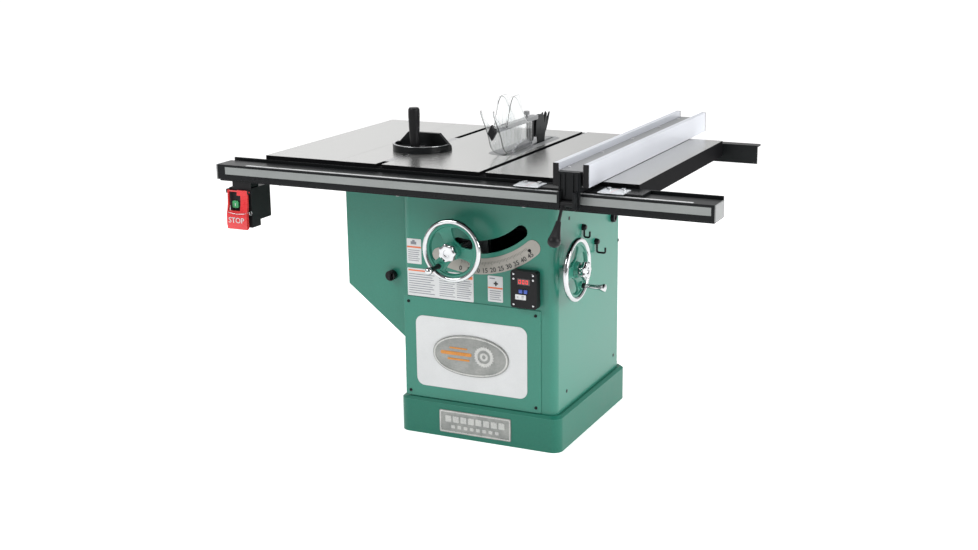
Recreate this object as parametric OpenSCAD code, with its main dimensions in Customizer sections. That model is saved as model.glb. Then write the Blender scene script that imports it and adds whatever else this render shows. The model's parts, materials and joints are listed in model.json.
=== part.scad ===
// Cabinet table saw: left-tilting arbor, cast table with two wings, T-square fence.
// Frame: origin on the floor under the middle of the plinth.
// +X points right as the operator sees it, +Y to the back, +Z up. Millimetres.

/* [Table] */
// Height of the table top above the floor
table_h = 838; // [832:1:844]
// Depth of the table, front to back
table_d = 785; // [775:1:795]
// Width of each extension wing
wing_w = 254; // [240:1:258]
// Thickness of the ground table plate
plate_t = 12; // [11:0.5:12]
// Width of a mitre slot
slot_w = 19.2; // [19:0.1:19.6]

/* [Cabinet] */
// Outside width of the cabinet
cab_w = 500; // [498:1:504]
// Outside depth of the cabinet
cab_d = 530; // [528:1:534]
// Sheet thickness of the cabinet
sheet = 4; // [3:0.5:4]
// Height of the plinth
plinth_h = 112; // [108:1:114]
// How far the plinth stands out from the cabinet
plinth_lip = 17; // [14:1:20]

/* [Blade] */
// Diameter of the blade
blade_d = 254; // [250:1:254]
// Thickness of the blade
blade_t = 2.8; // [2.4:0.1:3]
// Height of the blade above the table at rest
blade_up = 30; // [28:1:32]
// Largest tilt of the blade, which sets the length of the arc slot
tilt_max = 45; // [40:1:45]

/* [Handwheels] */
// Outside diameter of a handwheel
wheel_d = 190; // [180:1:196]
// Length of a crank handle
crank_l = 84; // [70:1:90]

/* [Fence and rails] */
// Length of the front rail tube
rail_l = 1567; // [1540:1:1580]
// Length of the fence
fence_l = 1050; // [1040:1:1056]
// Height of the fence faces
fence_h = 63; // [58:1:68]

/* [Hidden] */
$fn = 48;
// Table plan
table_x0 = -686.6;
table_x1 = 520.2;
table_y0 = -319.7;
table_y1 = table_y0 + table_d;
main_x0 = table_x0 + wing_w;
main_x1 = table_x1 - wing_w;
plate_z = table_h - plate_t;
skirt_h = 50;
skirt_z = table_h - skirt_h;
skirt_t = 12;
slot_x = [-292.8, 45.3];
slot_depth = 9.6;
// Blade line: the tilt axis lies along Y in the table surface
blade_x = -15;
arbor_y = 95;
arbor_z = table_h + blade_up - blade_d / 2;
arbor_r = 7.9;
arm_y = -95;
arm_z = 700;
motor_y = -20;
motor_z = 528;
motor_r = 92;
motor_x0 = -424;
motor_x1 = -196;
pulley_x0 = -176;
pulley_x1 = -136;
// Height handwheel shaft, on an arc about the tilt axis
height_r = 236.5;
height_a = 7.6;
height_x = blade_x - height_r * sin(height_a);
height_z = table_h - height_r * cos(height_a);
wheel_y = -338;
// Tilt handwheel shaft, across the cabinet
tilt_y = -205;
tilt_z = 549;
sector_r = 272;
tilt_wheel_x = 290;
// Trunnion arcs, centred on the tilt axis
arc_in = 88;
arc_out = 112;
front_arc_y = -196;
rear_arc_y = 230;
arc_t = 11;
// Throat and insert
throat_x = -29;
throat_r = 49;
throat_y0 = -55;
throat_y1 = 345;
insert_t = 5;
// Cabinet
cab_hx = cab_w / 2;
cab_hy = cab_d / 2;
cab_r = 25;
cab_top = 806;
plinth_hx = cab_hx + plinth_lip;
plinth_hy = cab_hy + plinth_lip - 1;
seam_y = -cab_hy + cab_r;
arc_slot_w = 40;
// Motor cover
cover_y0 = -190;
cover_y1 = 225;
cover_x = -487;
cover_top = 762;
hinge_x = -259;
hinge_y = 233;
// Rails
rail_x0 = -801.5;
rail_y0 = -414.9;
rail_y1 = -339.2;
rail_z0 = 773.1;
rail_z1 = 818.6;
rail_x1 = rail_x0 + rail_l;
angle_x0 = -797;
angle_x1 = 759;
rear_x0 = -686;
rear_x1 = 634.6;
// Fence
fence_x0 = 310.3;
fence_x1 = 414;
face_t = 16;
end_cap = 4;
fence_y0 = -427.2;
fence_y1 = fence_y0 + fence_l;
fence_z = table_h + 1.2;
fence_mid = (fence_x0 + fence_x1) / 2;
lever_y = -450;
lever_z = 797;
// Mitre gauge
mitre_x = slot_x[0];
mitre_y = -45;
mitre_r = 92;
handle_y = -95;
// Switch
sw_x0 = -772;
sw_x1 = -690;
sw_y = -402;
sw_top = 748;

// ---- helpers ----
module block(x0, x1, y0, y1, z0, z1) {
    translate([x0, y0, z0]) cube([x1 - x0, y1 - y0, z1 - z0]);
}
module rod_x(x0, x1, y, z, r) {
    translate([x0, y, z]) rotate([0, 90, 0]) cylinder(h = x1 - x0, r = r);
}
module rod_y(x, y0, y1, z, r) {
    translate([x, y0, z]) rotate([-90, 0, 0]) cylinder(h = y1 - y0, r = r);
}
module rod_z(x, y, z0, z1, r) {
    translate([x, y, z0]) cylinder(h = z1 - z0, r = r);
}
// Rectangle with round corners, centred
module round_rect(w, d, r) {
    square([w - 2 * r, d], center = true);
    square([w, d - 2 * r], center = true);
    for (sx = [-1, 1], sy = [-1, 1])
        translate([sx * (w / 2 - r), sy * (d / 2 - r)]) circle(r);
}
// Outline drawn in XZ (x right, z up), extruded from y0 to y1
module slab_y(y0, y1) {
    translate([0, y1, 0]) rotate([90, 0, 0]) linear_extrude(y1 - y0) children();
}
// Outline drawn in YZ (y right, z up), extruded from x0 to x1
module slab_x(x0, x1) {
    translate([x0, 0, 0]) rotate([90, 0, 90]) linear_extrude(x1 - x0) children();
}
function from_down(r, a) = [r * sin(a), -r * cos(a)];
// Ring sector about the tilt axis; angles run from straight down, positive to the right
module arc_sector(r0, r1, a0, a1) {
    steps = ceil((a1 - a0) / 30);
    intersection() {
        difference() {
            circle(r1, $fn = 96);
            circle(r0, $fn = 96);
        }
        polygon(concat([[0, 0]], [for (i = [0:steps])
            from_down(2 * r1, a0 + (a1 - a0) * i / steps)]));
    }
}
module about_tilt_axis(y0, y1) {
    slab_y(y0, y1) translate([blade_x, table_h]) children();
}
function bezier(a, b, c, d, t) = pow(1 - t, 3) * a + 3 * pow(1 - t, 2) * t * b
    + 3 * (1 - t) * t * t * c + t * t * t * d;
function curve(a, b, c, d, n) = [for (i = [0:n]) bezier(a, b, c, d, i / n)];

// ---- cabinet ----
module base_plinth() {
    bevel = 8;
    color("seagreen") difference() {
        union() {
            linear_extrude(plinth_h - bevel) round_rect(2 * plinth_hx, 2 * plinth_hy, 30);
            hull() {
                translate([0, 0, plinth_h - bevel]) linear_extrude(0.5)
                    round_rect(2 * plinth_hx, 2 * plinth_hy, 30, $fn = 32);
                translate([0, 0, plinth_h - 0.5]) linear_extrude(0.5)
                    round_rect(2 * (plinth_hx - bevel), 2 * (plinth_hy - bevel), 28, $fn = 32);
            }
        }
        translate([0, 0, -1]) linear_extrude(plinth_h - 9)
            round_rect(2 * plinth_hx - 12, 2 * plinth_hy - 12, 25);
        translate([0, 0, plinth_h - 12]) linear_extrude(20)
            round_rect(cab_w - 60, cab_d - 60, 20);
    }
}
module cabinet_walls(z0, z1) {
    translate([0, 0, z0]) linear_extrude(z1 - z0) difference() {
        round_rect(cab_w, cab_d, cab_r);
        round_rect(cab_w - 2 * sheet, cab_d - 2 * sheet, cab_r - sheet);
    }
}
module front_panel() {
    slot_mid = height_r;
    a_end = tilt_max - height_a + 4;
    color("seagreen") difference() {
        intersection() {
            cabinet_walls(plinth_h, cab_top);
            block(-cab_hx - 1, cab_hx + 1, -cab_hy - 1, seam_y, plinth_h - 1, cab_top + 1);
        }
        about_tilt_axis(-cab_hy - 1, -cab_hy + sheet + 1) {
            arc_sector(slot_mid - arc_slot_w / 2, slot_mid + arc_slot_w / 2, -height_a - 4, a_end);
            translate(from_down(slot_mid, -height_a - 4)) circle(arc_slot_w / 2);
            translate(from_down(slot_mid, a_end)) circle(arc_slot_w / 2);
        }
        block(-225, 178, -cab_hy - 1, -cab_hy + sheet + 1, 135, 405);
    }
}
module cabinet_shell() {
    color("seagreen") {
        difference() {
            intersection() {
                cabinet_walls(plinth_h, cab_top);
                block(-cab_hx - 1, cab_hx + 1, seam_y, cab_hy + 1, plinth_h - 1, cab_top + 1);
            }
            block(-cab_hx - 1, -cab_hx + sheet + 1, -176, 212, 250, cover_top - 14);
            rod_x(cab_hx - sheet - 1, cab_hx + 1, tilt_y, tilt_z, 9.6);
            rod_y(-60, cab_hy - sheet - 1, cab_hy + 1, 230, 49);
        }
        // Floor of the dust chamber
        block(-cab_hx + sheet, cab_hx - sheet, seam_y, cab_hy - sheet, plinth_h + 8, plinth_h + 11);
        // Bushing of the tilt shaft
        difference() {
            rod_x(cab_hx - 22, cab_hx, tilt_y, tilt_z, 17);
            rod_x(cab_hx - 23, cab_hx + 7, tilt_y, tilt_z, 9.6);
        }
    }
}
module access_cover() {
    color("seagreen") translate([0, -cab_hy, 0]) rotate([90, 0, 0]) linear_extrude(3)
        translate([-23, plinth_h + 160]) round_rect(452, 316, 5);
}
module screw_head(x, y, z, r, t) {
    rod_y(x, y - t, y, z, r);
}
module panel_screws() {
    cover_y = -cab_hy - 3;
    color([0.1, 0.1, 0.1]) {
        for (p = [[-233, 414], [187, 414], [-233, 130], [187, 130]])
            screw_head(p[0], cover_y, p[1], 5, 3);
        for (p = [[-122, 563], [175, 613]])
            screw_head(p[0], -cab_hy - 1.5, p[1], 5, 2.5);
        for (p = [[128, 541], [190, 541], [128, 450], [190, 450], [124, 527], [193, 527]])
            screw_head(p[0], -cab_hy - 26, p[1], 4, 2);
    }
}
module label_plates() {
    cover_y = -cab_hy - 3;
    color("white") {
        slab_y(cover_y - 1.2, cover_y) translate([-25, 263]) round_rect(369, 222, 26);
        slab_y(cover_y - 3.2, cover_y - 1.2) translate([-25, 264]) {
            intersection() {
                translate([0, -91]) circle(153, $fn = 96);
                translate([0, 91]) circle(153, $fn = 96);
                square([246, 140], center = true);
            }
        }
        slab_y(-plinth_hy - 1.5, -plinth_hy) translate([-9, 51]) round_rect(240, 72, 5);
        for (l = [[-211, 570, 49, 77], [-125, 475, 221, 86], [57, 481, 49, 79]])
            slab_y(-cab_hy - 0.8, -cab_hy) translate([l[0], l[1]]) round_rect(l[2], l[3], 3);
    }
}
module bevel_scale() {
    color("tan") about_tilt_axis(-cab_hy - 1.5, -cab_hy) {
        arc_sector(270, 318, -22, 41);
        translate(from_down(294, -22)) circle(24);
        translate(from_down(294, 41)) circle(24);
    }
}
module readout_housing() {
    y0 = -cab_hy - 26;
    color([0.08, 0.08, 0.08]) difference() {
        slab_y(y0, -cab_hy) translate([159, 495]) round_rect(84, 112, 8);
        block(139, 179, y0 - 1, y0 + 4, 509, 528);
        for (x = [150, 166]) block(x - 6, x + 6, y0 - 1, y0 + 5, 484, 496);
    }
}
module readout_display() {
    color("darkred") block(139.4, 178.6, -cab_hy - 25, -cab_hy - 22, 509.4, 527.6);
}
module readout_button(x) {
    color("royalblue") block(x - 5.5, x + 5.5, -cab_hy - 28, -cab_hy - 23.5, 484.5, 495.5);
}
module readout_button_left() {
    readout_button(150);
}
module readout_button_right() {
    readout_button(166);
}
module storage_hooks() {
    x = cab_hx;
    color([0.1, 0.1, 0.1]) {
        // Blade hook: knob, stem, foot and tip
        rod_x(x, x + 14, -62, 642, 11);
        block(x + 3, x + 9, -65, -59, 609, 640);
        block(x + 3, x + 27, -65, -59, 609, 615);
        block(x + 21, x + 27, -65, -59, 609, 630);
        // Wrench hook
        rod_x(x, x + 14, 44, 575, 10);
        block(x + 3, x + 9, 41, 47, 538, 573);
        block(x + 3, x + 36, 41, 47, 538, 544);
        block(x + 30, x + 36, 41, 47, 538, 558);
        // Bumper beneath the rail
        rod_x(x, x + 12, 188, 622, 16);
    }
}
module dust_port() {
    color([0.15, 0.15, 0.15]) difference() {
        union() {
            rod_y(-60, cab_hy, cab_hy + 4, 230, 66);
            rod_y(-60, cab_hy, cab_hy + 45, 230, 50.8);
        }
        rod_y(-60, cab_hy - 1, cab_hy + 46, 230, 48);
    }
}

// ---- motor cover ----
module cover_outline(g) {
    polygon([[-cab_hx - 2 - g, cover_top - g], [cover_x + 12 + g, cover_top - g],
        [cover_x + g, cover_top - 12 - g], [cover_x + g, 424 + g * 0.6], [-cab_hx - 2 - g, 240 + g * 1.3]]);
}
module motor_cover() {
    color("seagreen") {
        difference() {
            slab_y(cover_y0, cover_y1) cover_outline(0);
            slab_y(cover_y0 + 3, cover_y1 - 3) union() {
                cover_outline(3);
                polygon([[-cab_hx - 6, cover_top - 3], [-cab_hx, cover_top - 3],
                    [-cab_hx, 244], [-cab_hx - 6, 248]]);
            }
            rod_y(-328, cover_y0 - 1, cover_y0 + 4, 468, 8.2);
        }
        // Outer hinge knuckles
        for (z = [330, 660]) difference() {
            union() {
                rod_z(hinge_x, hinge_y, z, z + 22, 6);
                block(hinge_x - 22, hinge_x, cover_y1 - 1, cover_y1 + 3, z, z + 22);
                block(hinge_x - 4, hinge_x + 4, cover_y1 - 1, hinge_y - 5, z, z + 22);
            }
            rod_z(hinge_x, hinge_y, z - 1, z + 23, 3.05);
        }
    }
}
module motor_cover_knob() {
    color([0.08, 0.08, 0.08]) {
        rod_y(-328, cover_y0 - 8, cover_y0 + 6, 468, 8.1);
        rod_y(-328, cover_y0 - 22, cover_y0 - 4, 468, 16);
        block(-331, -325, cover_y0 - 26, cover_y0 - 21, 455, 481);
    }
}
module motor_cover_hinge() {
    color("dimgray") for (z = [330, 660]) {
        rod_z(hinge_x, hinge_y, z - 24, z + 30, 3);
        difference() {
            union() {
                rod_z(hinge_x, hinge_y, z - 24, z - 0.5, 6);
                block(hinge_x, -cab_hx, hinge_y - 3, hinge_y + 3, z - 24, z - 0.5);
            }
            rod_z(hinge_x, hinge_y, z - 25, z, 3);
        }
    }
}

// ---- table ----
module slot_cut(x) {
    block(x - slot_w / 2, x + slot_w / 2, table_y0 - 1, table_y1 + 1, table_h - slot_depth, table_h + 1);
    block(x - 12.3, x + 12.3, table_y0 - 1, table_y1 + 1, table_h - slot_depth, table_h - slot_depth + 3.2);
}
module throat(g) {
    translate([throat_x, 0]) {
        for (y = [throat_y0 + throat_r, throat_y1 - throat_r]) translate([0, y]) circle(throat_r - g);
        translate([-throat_r + g, throat_y0 + throat_r])
            square([2 * (throat_r - g), throat_y1 - throat_y0 - 2 * throat_r]);
    }
}
module main_table() {
    color("lightgray") difference() {
        union() {
            block(main_x0, main_x1, table_y0, table_y1, plate_z, table_h);
            for (y = [table_y0, table_y1 - skirt_t])
                block(main_x0, main_x1, y, y + skirt_t, skirt_z, table_h);
            for (x = [main_x0, main_x1 - skirt_t])
                block(x, x + skirt_t, table_y0, table_y1, skirt_z, table_h);
            for (x = slot_x) block(x - 14, x + 14, table_y0, table_y1, table_h - 16, table_h);
            block(main_x0, main_x1, 385, 393, table_h - 38, table_h);
            block(main_x0, main_x1, -282, -274, table_h - 38, table_h);
            for (x = [-cab_hx + 2, cab_hx - 42], y = [-cab_hy + 26, cab_hy - 66])
                block(x, x + 40, y, y + 40, cab_top, table_h);
        }
        for (x = slot_x) slot_cut(x);
        translate([0, 0, plate_z - 30]) linear_extrude(60) throat(6);
        // Relief in the ledge where the tilted, fully raised blade passes
        translate([0, 0, plate_z - 30]) linear_extrude(60) intersection() {
            throat(2);
            translate([blade_x - 5, -60]) square([27, 50]);
        }
        translate([0, 0, table_h - insert_t - 0.1]) linear_extrude(60) throat(0);
    }
}
module wing(x0) {
    color("lightgray") {
        block(x0, x0 + wing_w, table_y0 + 1.5, table_y1, table_h - 10, table_h);
        for (y = [table_y0 + 1.5, table_y1 - 10]) block(x0, x0 + wing_w, y, y + 10, skirt_z, table_h);
        for (x = [x0, x0 + wing_w - 10]) block(x, x + 10, table_y0 + 1.5, table_y1, skirt_z, table_h);
        for (i = [1:2]) {
            y = table_y0 + table_d * i / 3;
            block(x0, x0 + wing_w, y - 4, y + 4, skirt_z + 8, table_h);
        }
    }
}
module left_wing() {
    wing(table_x0);
}
module right_wing() {
    wing(main_x1);
}
module table_insert() {
    color("gray") difference() {
        translate([0, 0, table_h - insert_t]) linear_extrude(insert_t) throat(0.4);
        block(blade_x - 5, blade_x + 9.5, -50, 330, table_h - 20, table_h + 1);
        rod_z(throat_x - 22, 310, table_h - 20, table_h + 1, 8);
    }
}
module hex_head(r, h) {
    cylinder(h = h, r = r, $fn = 6);
}
module table_bolts() {
    color("dimgray") {
        // Wing bolts, run through the joined skirts
        for (s = [[main_x0, 1], [main_x1, -1]], i = [0:3]) {
            y = table_y0 + 60 + i * (table_d - 120) / 3;
            translate([s[0] + s[1] * (skirt_t + 5), y, skirt_z + 28]) rotate([0, 90, 0])
                cylinder(h = 10, r = 8, center = true, $fn = 6);
        }
        // Table to cabinet
        for (x = [-cab_hx + 22, cab_hx - 22], y = [-cab_hy + 46, cab_hy - 46])
            translate([x, y, cab_top - 8]) hex_head(9, 8);
        // Rail angle to tube, from beneath
        for (x = [-600, -200, 200, 604]) translate([x, -372, rail_z0 - 13]) hex_head(8, 7);
    }
}

// ---- rails ----
module front_rail_angle() {
    color([0.07, 0.07, 0.07]) {
        block(angle_x0, angle_x1, -326, table_y0 - 0.2, rail_z0 - 6, table_h - 12);
        block(angle_x0, angle_x1, -405, -326, rail_z0 - 6, rail_z0 - 0.2);
    }
}
module front_rail_tube() {
    color([0.07, 0.07, 0.07]) difference() {
        block(rail_x0 + 4, rail_x1 - 4, rail_y0 + 1, rail_y1, rail_z0, rail_z1);
        block(rail_x0 - 9, rail_x1 + 9, rail_y0 + 5, rail_y1 - 4, rail_z0 + 4, rail_z1 - 4);
    }
}
module rail_strips() {
    color("gray") block(-770, 752, rail_y0, rail_y0 + 1, rail_z0 + 16.5, rail_z1 - 7);
    color("white") block(-700, 700, rail_y0 + 5, rail_y0 + 17, rail_z1, rail_z1 + 0.6);
}
module rail_end_caps() {
    color("gainsboro") for (s = [[rail_x0, 1], [rail_x1, -1]]) {
        x0 = min(s[0], s[0] + s[1] * 4);
        block(x0, x0 + 4, rail_y0, rail_y1, rail_z0, rail_z1);
        x2 = min(s[0] + s[1] * 4, s[0] + s[1] * 24);
        block(x2, x2 + 20, rail_y0 + 5.2, rail_y1 - 4.2, rail_z0 + 4.2, rail_z1 - 4.2);
    }
}
module rear_rail() {
    color([0.07, 0.07, 0.07]) {
        block(rear_x0, rear_x1, table_y1 + 0.2, table_y1 + 6.2, 770.1, 828.8);
        block(rear_x0, rear_x1, table_y1 + 0.2, table_y1 + 40, 822.8, 828.8);
    }
}

// ---- tilting and raising gear ----
module trunnion_bracket(y0) {
    about_tilt_axis(y0, y0 + arc_t) arc_sector(arc_in, arc_out, -82, 82);
    for (s = [-1, 1]) {
        x0 = blade_x + (s > 0 ? arc_in + 2 : -arc_out + 3);
        block(x0, x0 + 19, y0, y0 + arc_t, table_h - 24, plate_z);
    }
}
module trunnion_brackets() {
    color("slategray") {
        trunnion_bracket(front_arc_y);
        trunnion_bracket(rear_arc_y);
    }
}
module tilt_cradle() {
    shoe_in = arc_out + 0.8;
    color("slategray") difference() {
        union() {
            // Shoes under the two trunnion arcs
            for (y = [front_arc_y, rear_arc_y])
                about_tilt_axis(y, y + arc_t) arc_sector(shoe_in, shoe_in + 22, -32, 32);
            // Front yoke with the bevel sector
            about_tilt_axis(front_arc_y - 16, front_arc_y) {
                arc_sector(98, 205, -38, 32);
                arc_sector(205, sector_r - 4, -50, 6);
            }
            // Rear yoke
            about_tilt_axis(rear_arc_y + arc_t, rear_arc_y + arc_t + 10) {
                arc_sector(98, 150, -32, 32);
                arc_sector(150, 205, 0, 32);
            }
            // Side beam that joins the yokes on the right of the blade
            about_tilt_axis(front_arc_y, rear_arc_y + arc_t + 1) arc_sector(150, 200, 20, 30);
            // Lug for the arm's pivot
            block(2, 80, arm_y - 22, arm_y + 22, arm_z - 22, arm_z + 22);
            block(-22, 2, arm_y - 14, arm_y + 14, arm_z - 14, arm_z + 14);
            // Inner bearing of the height shaft
            block(height_x - 18, height_x + 18, -40, -22, height_z - 18, height_z + 18);
            block(height_x - 18, 62, -40, -22, height_z + 2, height_z + 18);
            block(48, 62, -40, -22, height_z + 2, height_z + 70);
            // Stand of the splitter
            block(blade_x - 10, blade_x + 16, rear_arc_y + arc_t + 1, rear_arc_y + arc_t + 7, 700, 780);
        }
        rod_x(-200, 91, arm_y, arm_z, 10);
        rod_y(height_x, -300, 0, height_z, 8.05);
        // The splitter's seat
        block(blade_x - 1.3, blade_x + 1.3, rear_arc_y + arc_t - 1, rear_arc_y + arc_t + 11, 715, 800);
    }
}
module arm_pivot_shaft() {
    color("silver") rod_x(-128, 78, arm_y, arm_z, 10);
}
module worm(l, r) {
    cylinder(h = l, r = r - 3);
    for (i = [0:5]) translate([0, 0, (i + 0.25) * l / 6]) cylinder(h = l / 12, r = r);
}
module tilt_worm_shaft() {
    color("silver") {
        rod_x(-48, tilt_wheel_x + 28, tilt_y, tilt_z, 9.5);
        translate([-42, tilt_y, tilt_z]) rotate([0, 90, 0]) worm(60, 15);
    }
}
module height_worm_shaft() {
    color("silver") {
        rod_y(height_x, wheel_y - 28, -20, height_z, 8);
        translate([height_x, -125, height_z]) rotate([-90, 0, 0]) worm(60, 14);
    }
}
// Handwheel about +Z, its open side towards +Z; the hub stands from z = -10 to 12
module handwheel(bore) {
    rr = wheel_d / 2;
    difference() {
        union() {
            translate([0, 0, 2]) rotate_extrude($fn = 96) translate([rr - 9, 0]) intersection() {
                union() {
                    circle(9, $fn = 32);
                    translate([-2, -9]) square([11, 18]);
                }
                translate([-9, -12]) square([18, 24]);
            }
            for (a = [90, 210, 330]) rotate([0, 0, a]) {
                translate([14, -11, -6]) cube([rr - 24, 22, 10]);
                translate([22, -15, -6]) cube([14, 30, 10]);
                translate([rr - 44, -15, -6]) cube([32, 30, 10]);
            }
            translate([0, 0, -14]) cylinder(h = 26, r = 25);
        }
        translate([0, 0, -15]) cylinder(h = 40, r = bore);
        // Seat of the crank handle's stud
        rotate([0, 0, 210]) translate([rr - 31, 0, -7]) cylinder(h = 20, r = 5);
    }
}
module crank() {
    cylinder(h = 12, r = 4.9);
    translate([0, 0, 6]) cylinder(h = 10, r = 8);
    translate([0, 0, 16]) cylinder(h = crank_l - 34, r = 6.5);
    translate([0, 0, crank_l - 20]) cylinder(h = 8, r = 9.5);
    translate([0, 0, crank_l - 12]) cylinder(h = 10, r = 12.5);
}
module lock_knob() {
    difference() {
        union() {
            cylinder(h = 8, r = 15);
            translate([0, 0, 8]) cylinder(h = 16, r = 24);
            for (i = [0:6]) rotate([0, 0, i * 360 / 7]) translate([22, 0, 8]) cylinder(h = 16, r = 6.5);
        }
        translate([0, 0, -1]) cylinder(h = 18, r = 8.4);
    }
}
module at_height_wheel() {
    translate([height_x, wheel_y, height_z]) rotate([90, 0, 0]) children();
}
module at_tilt_wheel() {
    translate([tilt_wheel_x, tilt_y, tilt_z]) rotate([90, 0, 90]) children();
}
module crank_seat() {
    rotate([0, 0, 210]) translate([wheel_d / 2 - 31, 0, -1.5]) children();
}
module tilt_handwheel() {
    color("seagreen") at_tilt_wheel() rotate([0, 0, 90]) handwheel(9.5);
}
module height_handwheel() {
    color("seagreen") at_height_wheel() rotate([0, 0, 20]) handwheel(8);
}
module tilt_crank() {
    color("silver") at_tilt_wheel() rotate([0, 0, 90]) crank_seat() crank();
}
module height_crank() {
    color("silver") at_height_wheel() rotate([0, 0, 20]) crank_seat() crank();
}
module tilt_lock_knob() {
    color("silver") at_tilt_wheel() translate([0, 0, 12.5]) difference() {
        lock_knob();
        translate([0, 0, -1]) cylinder(h = 18, r = 9.6);
    }
}
module height_lock_knob() {
    color("silver") at_height_wheel() translate([0, 0, 12.5]) lock_knob();
}
module raising_arm() {
    arb_out = 28;
    color("dimgray") difference() {
        union() {
            // Pivot boss and arbor housing
            rod_x(-120, -26, arm_y, arm_z, 26);
            rod_x(-120, -44, arbor_y, arbor_z, arb_out);
            // Web between them
            slab_x(-100, -60) polygon([[arm_y, arm_z + 24], [arbor_y - 4, arbor_z + 26],
                [arbor_y + 4, arbor_z - 26], [arm_y + 8, arm_z - 24]]);
            // Motor bracket
            slab_x(-120, -104) polygon([[arm_y - 8, arm_z - 6], [arbor_y, arbor_z - 20],
                [motor_y + 60, motor_z + 64], [motor_y - 60, motor_z + 64]]);
            block(-330, -104, motor_y - 60, motor_y + 6, motor_z + motor_r + 3, motor_z + motor_r + 11);
            // Worm sector under the pivot
            translate([height_x - 7, arm_y, arm_z]) rotate([90, 0, 90]) linear_extrude(14)
                arc_sector(20, 80, -42, 36);
        }
        rod_x(-121, 0, arm_y, arm_z, 10.05);
        rod_x(-121, -30, arbor_y, arbor_z, 12.05);
    }
}
module arbor_shaft() {
    color("silver") {
        rod_x(pulley_x0 - 4, -35, arbor_y, arbor_z, 12);
        rod_x(-35, blade_x + 18, arbor_y, arbor_z, arbor_r);
        // Arbor pulley, three ribs
        for (i = [0:3]) {
            x = pulley_x0 + i * 12;
            rod_x(x, x + 4, arbor_y, arbor_z, 34);
        }
        rod_x(pulley_x0, pulley_x1, arbor_y, arbor_z, 28);
    }
}
module arbor_flanges() {
    b = blade_t / 2;
    color("darkgray") difference() {
        union() {
            rod_x(blade_x - b - 12, blade_x - b, arbor_y, arbor_z, 33);
            rod_x(blade_x + b, blade_x + b + 5, arbor_y, arbor_z, 30);
            translate([blade_x + b + 5, arbor_y, arbor_z]) rotate([0, 90, 0]) hex_head(13.5, 9);
        }
        rod_x(blade_x - 60, blade_x + 60, arbor_y, arbor_z, arbor_r);
    }
}
module saw_blade() {
    teeth = 40;
    color("silver") translate([blade_x - blade_t / 2, arbor_y, arbor_z]) rotate([90, 0, 90])
        linear_extrude(blade_t) difference() {
            polygon([for (i = [0:teeth - 1], k = [0:2])
                (k == 0 ? blade_d / 2 : k == 1 ? blade_d / 2 - 9 : blade_d / 2 - 3)
                * [cos((i + k * 0.25) * 360 / teeth), sin((i + k * 0.25) * 360 / teeth)]]);
            circle(arbor_r);
        }
}
module motor() {
    color([0.12, 0.14, 0.14]) {
        rod_x(motor_x0 + 34, motor_x1 - 14, motor_y, motor_z, motor_r);
        rod_x(motor_x0, motor_x0 + 34, motor_y, motor_z, motor_r - 4);
        difference() {
            rod_x(motor_x1 - 14, motor_x1, motor_y, motor_z, motor_r - 8);
            rod_x(motor_x1 - 12, motor_x1 + 1, motor_y, motor_z, 12);
        }
        // Foot under the arm's plate, and the terminal box
        block(motor_x0 + 60, motor_x1 + 4, motor_y - 58, motor_y + 58, motor_z + motor_r - 30,
            motor_z + motor_r + 3);
    }
}
module motor_pulley() {
    color("silver") {
        rod_x(motor_x1 - 12, pulley_x1 + 2, motor_y, motor_z, 11.5);
        for (i = [0:3]) {
            x = pulley_x0 + i * 12;
            rod_x(x, x + 4, motor_y, motor_z, 40);
        }
        rod_x(pulley_x0, pulley_x1, motor_y, motor_z, 34);
    }
}
// Belt loop round both pulleys: two arcs joined by the outer tangents
function arc_points(c, r, a0, a1, n) = [for (i = [0:n])
    c + r * [cos(a0 + (a1 - a0) * i / n), sin(a0 + (a1 - a0) * i / n)]];
module belt_outline(g) {
    top = [arbor_y, arbor_z];
    low = [motor_y, motor_z];
    ra = 29 + g;
    rm = 35 + g;
    line = atan2(top[1] - low[1], top[0] - low[0]);
    wrap = acos((rm - ra) / norm(top - low));
    polygon(concat(arc_points(top, ra, line - wrap, line + wrap, 18),
        arc_points(low, rm, line + wrap, line + 360 - wrap, 18)));
}
module drive_belts() {
    color([0.1, 0.1, 0.1]) for (i = [0:2]) {
        x = pulley_x0 + 5 + i * 12;
        slab_x(x, x + 6) difference() {
            belt_outline(4.5);
            belt_outline(0);
        }
    }
}

// ---- guard ----
module splitter() {
    y0 = 205;
    color([0.12, 0.12, 0.12]) slab_x(blade_x - 1.2, blade_x + 1.2) polygon(concat(
        [[y0 + 38, 716], [y0 + 46, 716], [y0 + 48, 800], [y0 + 60, table_h]],
        curve([y0 + 62, 850], [y0 + 74, 880], [y0 + 66, 920], [y0 + 40, 926.4], 6),
        [[150, 926.4], [150, 917], [170, 917]],
        curve([178, 905], [196, 890], [y0 - 2, 866], [y0 + 4, table_h], 5),
        [[y0 + 24, 800], [y0 + 38, 766]]));
}
module guard_arm() {
    x = blade_x;
    color("darkgray") {
        block(x - 12, x + 12, -118, 190, 926.5, 930);
        for (s = [[-12, -10], [10, 12]]) block(x + s[0], x + s[1], -118, 190, 917, 926.5);
        for (s = [[-12, -1.3], [1.3, 12]]) block(x + s[0], x + s[1], 176, 190, 919, 926.5);
        // Side plates that straddle the blade
        for (s = [-1, 1]) slab_x(min(x + s * 4, x + s * 6.5), max(x + s * 4, x + s * 6.5))
            polygon([[134, 927], [134, 868], [144, 852], [162, 852], [168, 866], [168, 927]]);
        // Clamp knob
        rod_z(x, 128, 930, 938, 4);
        rod_z(x, 128, 938, 950, 9);
    }
    // Nose block between the shields
    color([0.08, 0.08, 0.08]) slab_y(-130, -118) translate([x, 919])
        polygon([[-13, -2], [0, 23], [13, -2], [0, -24]]);
}
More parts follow.
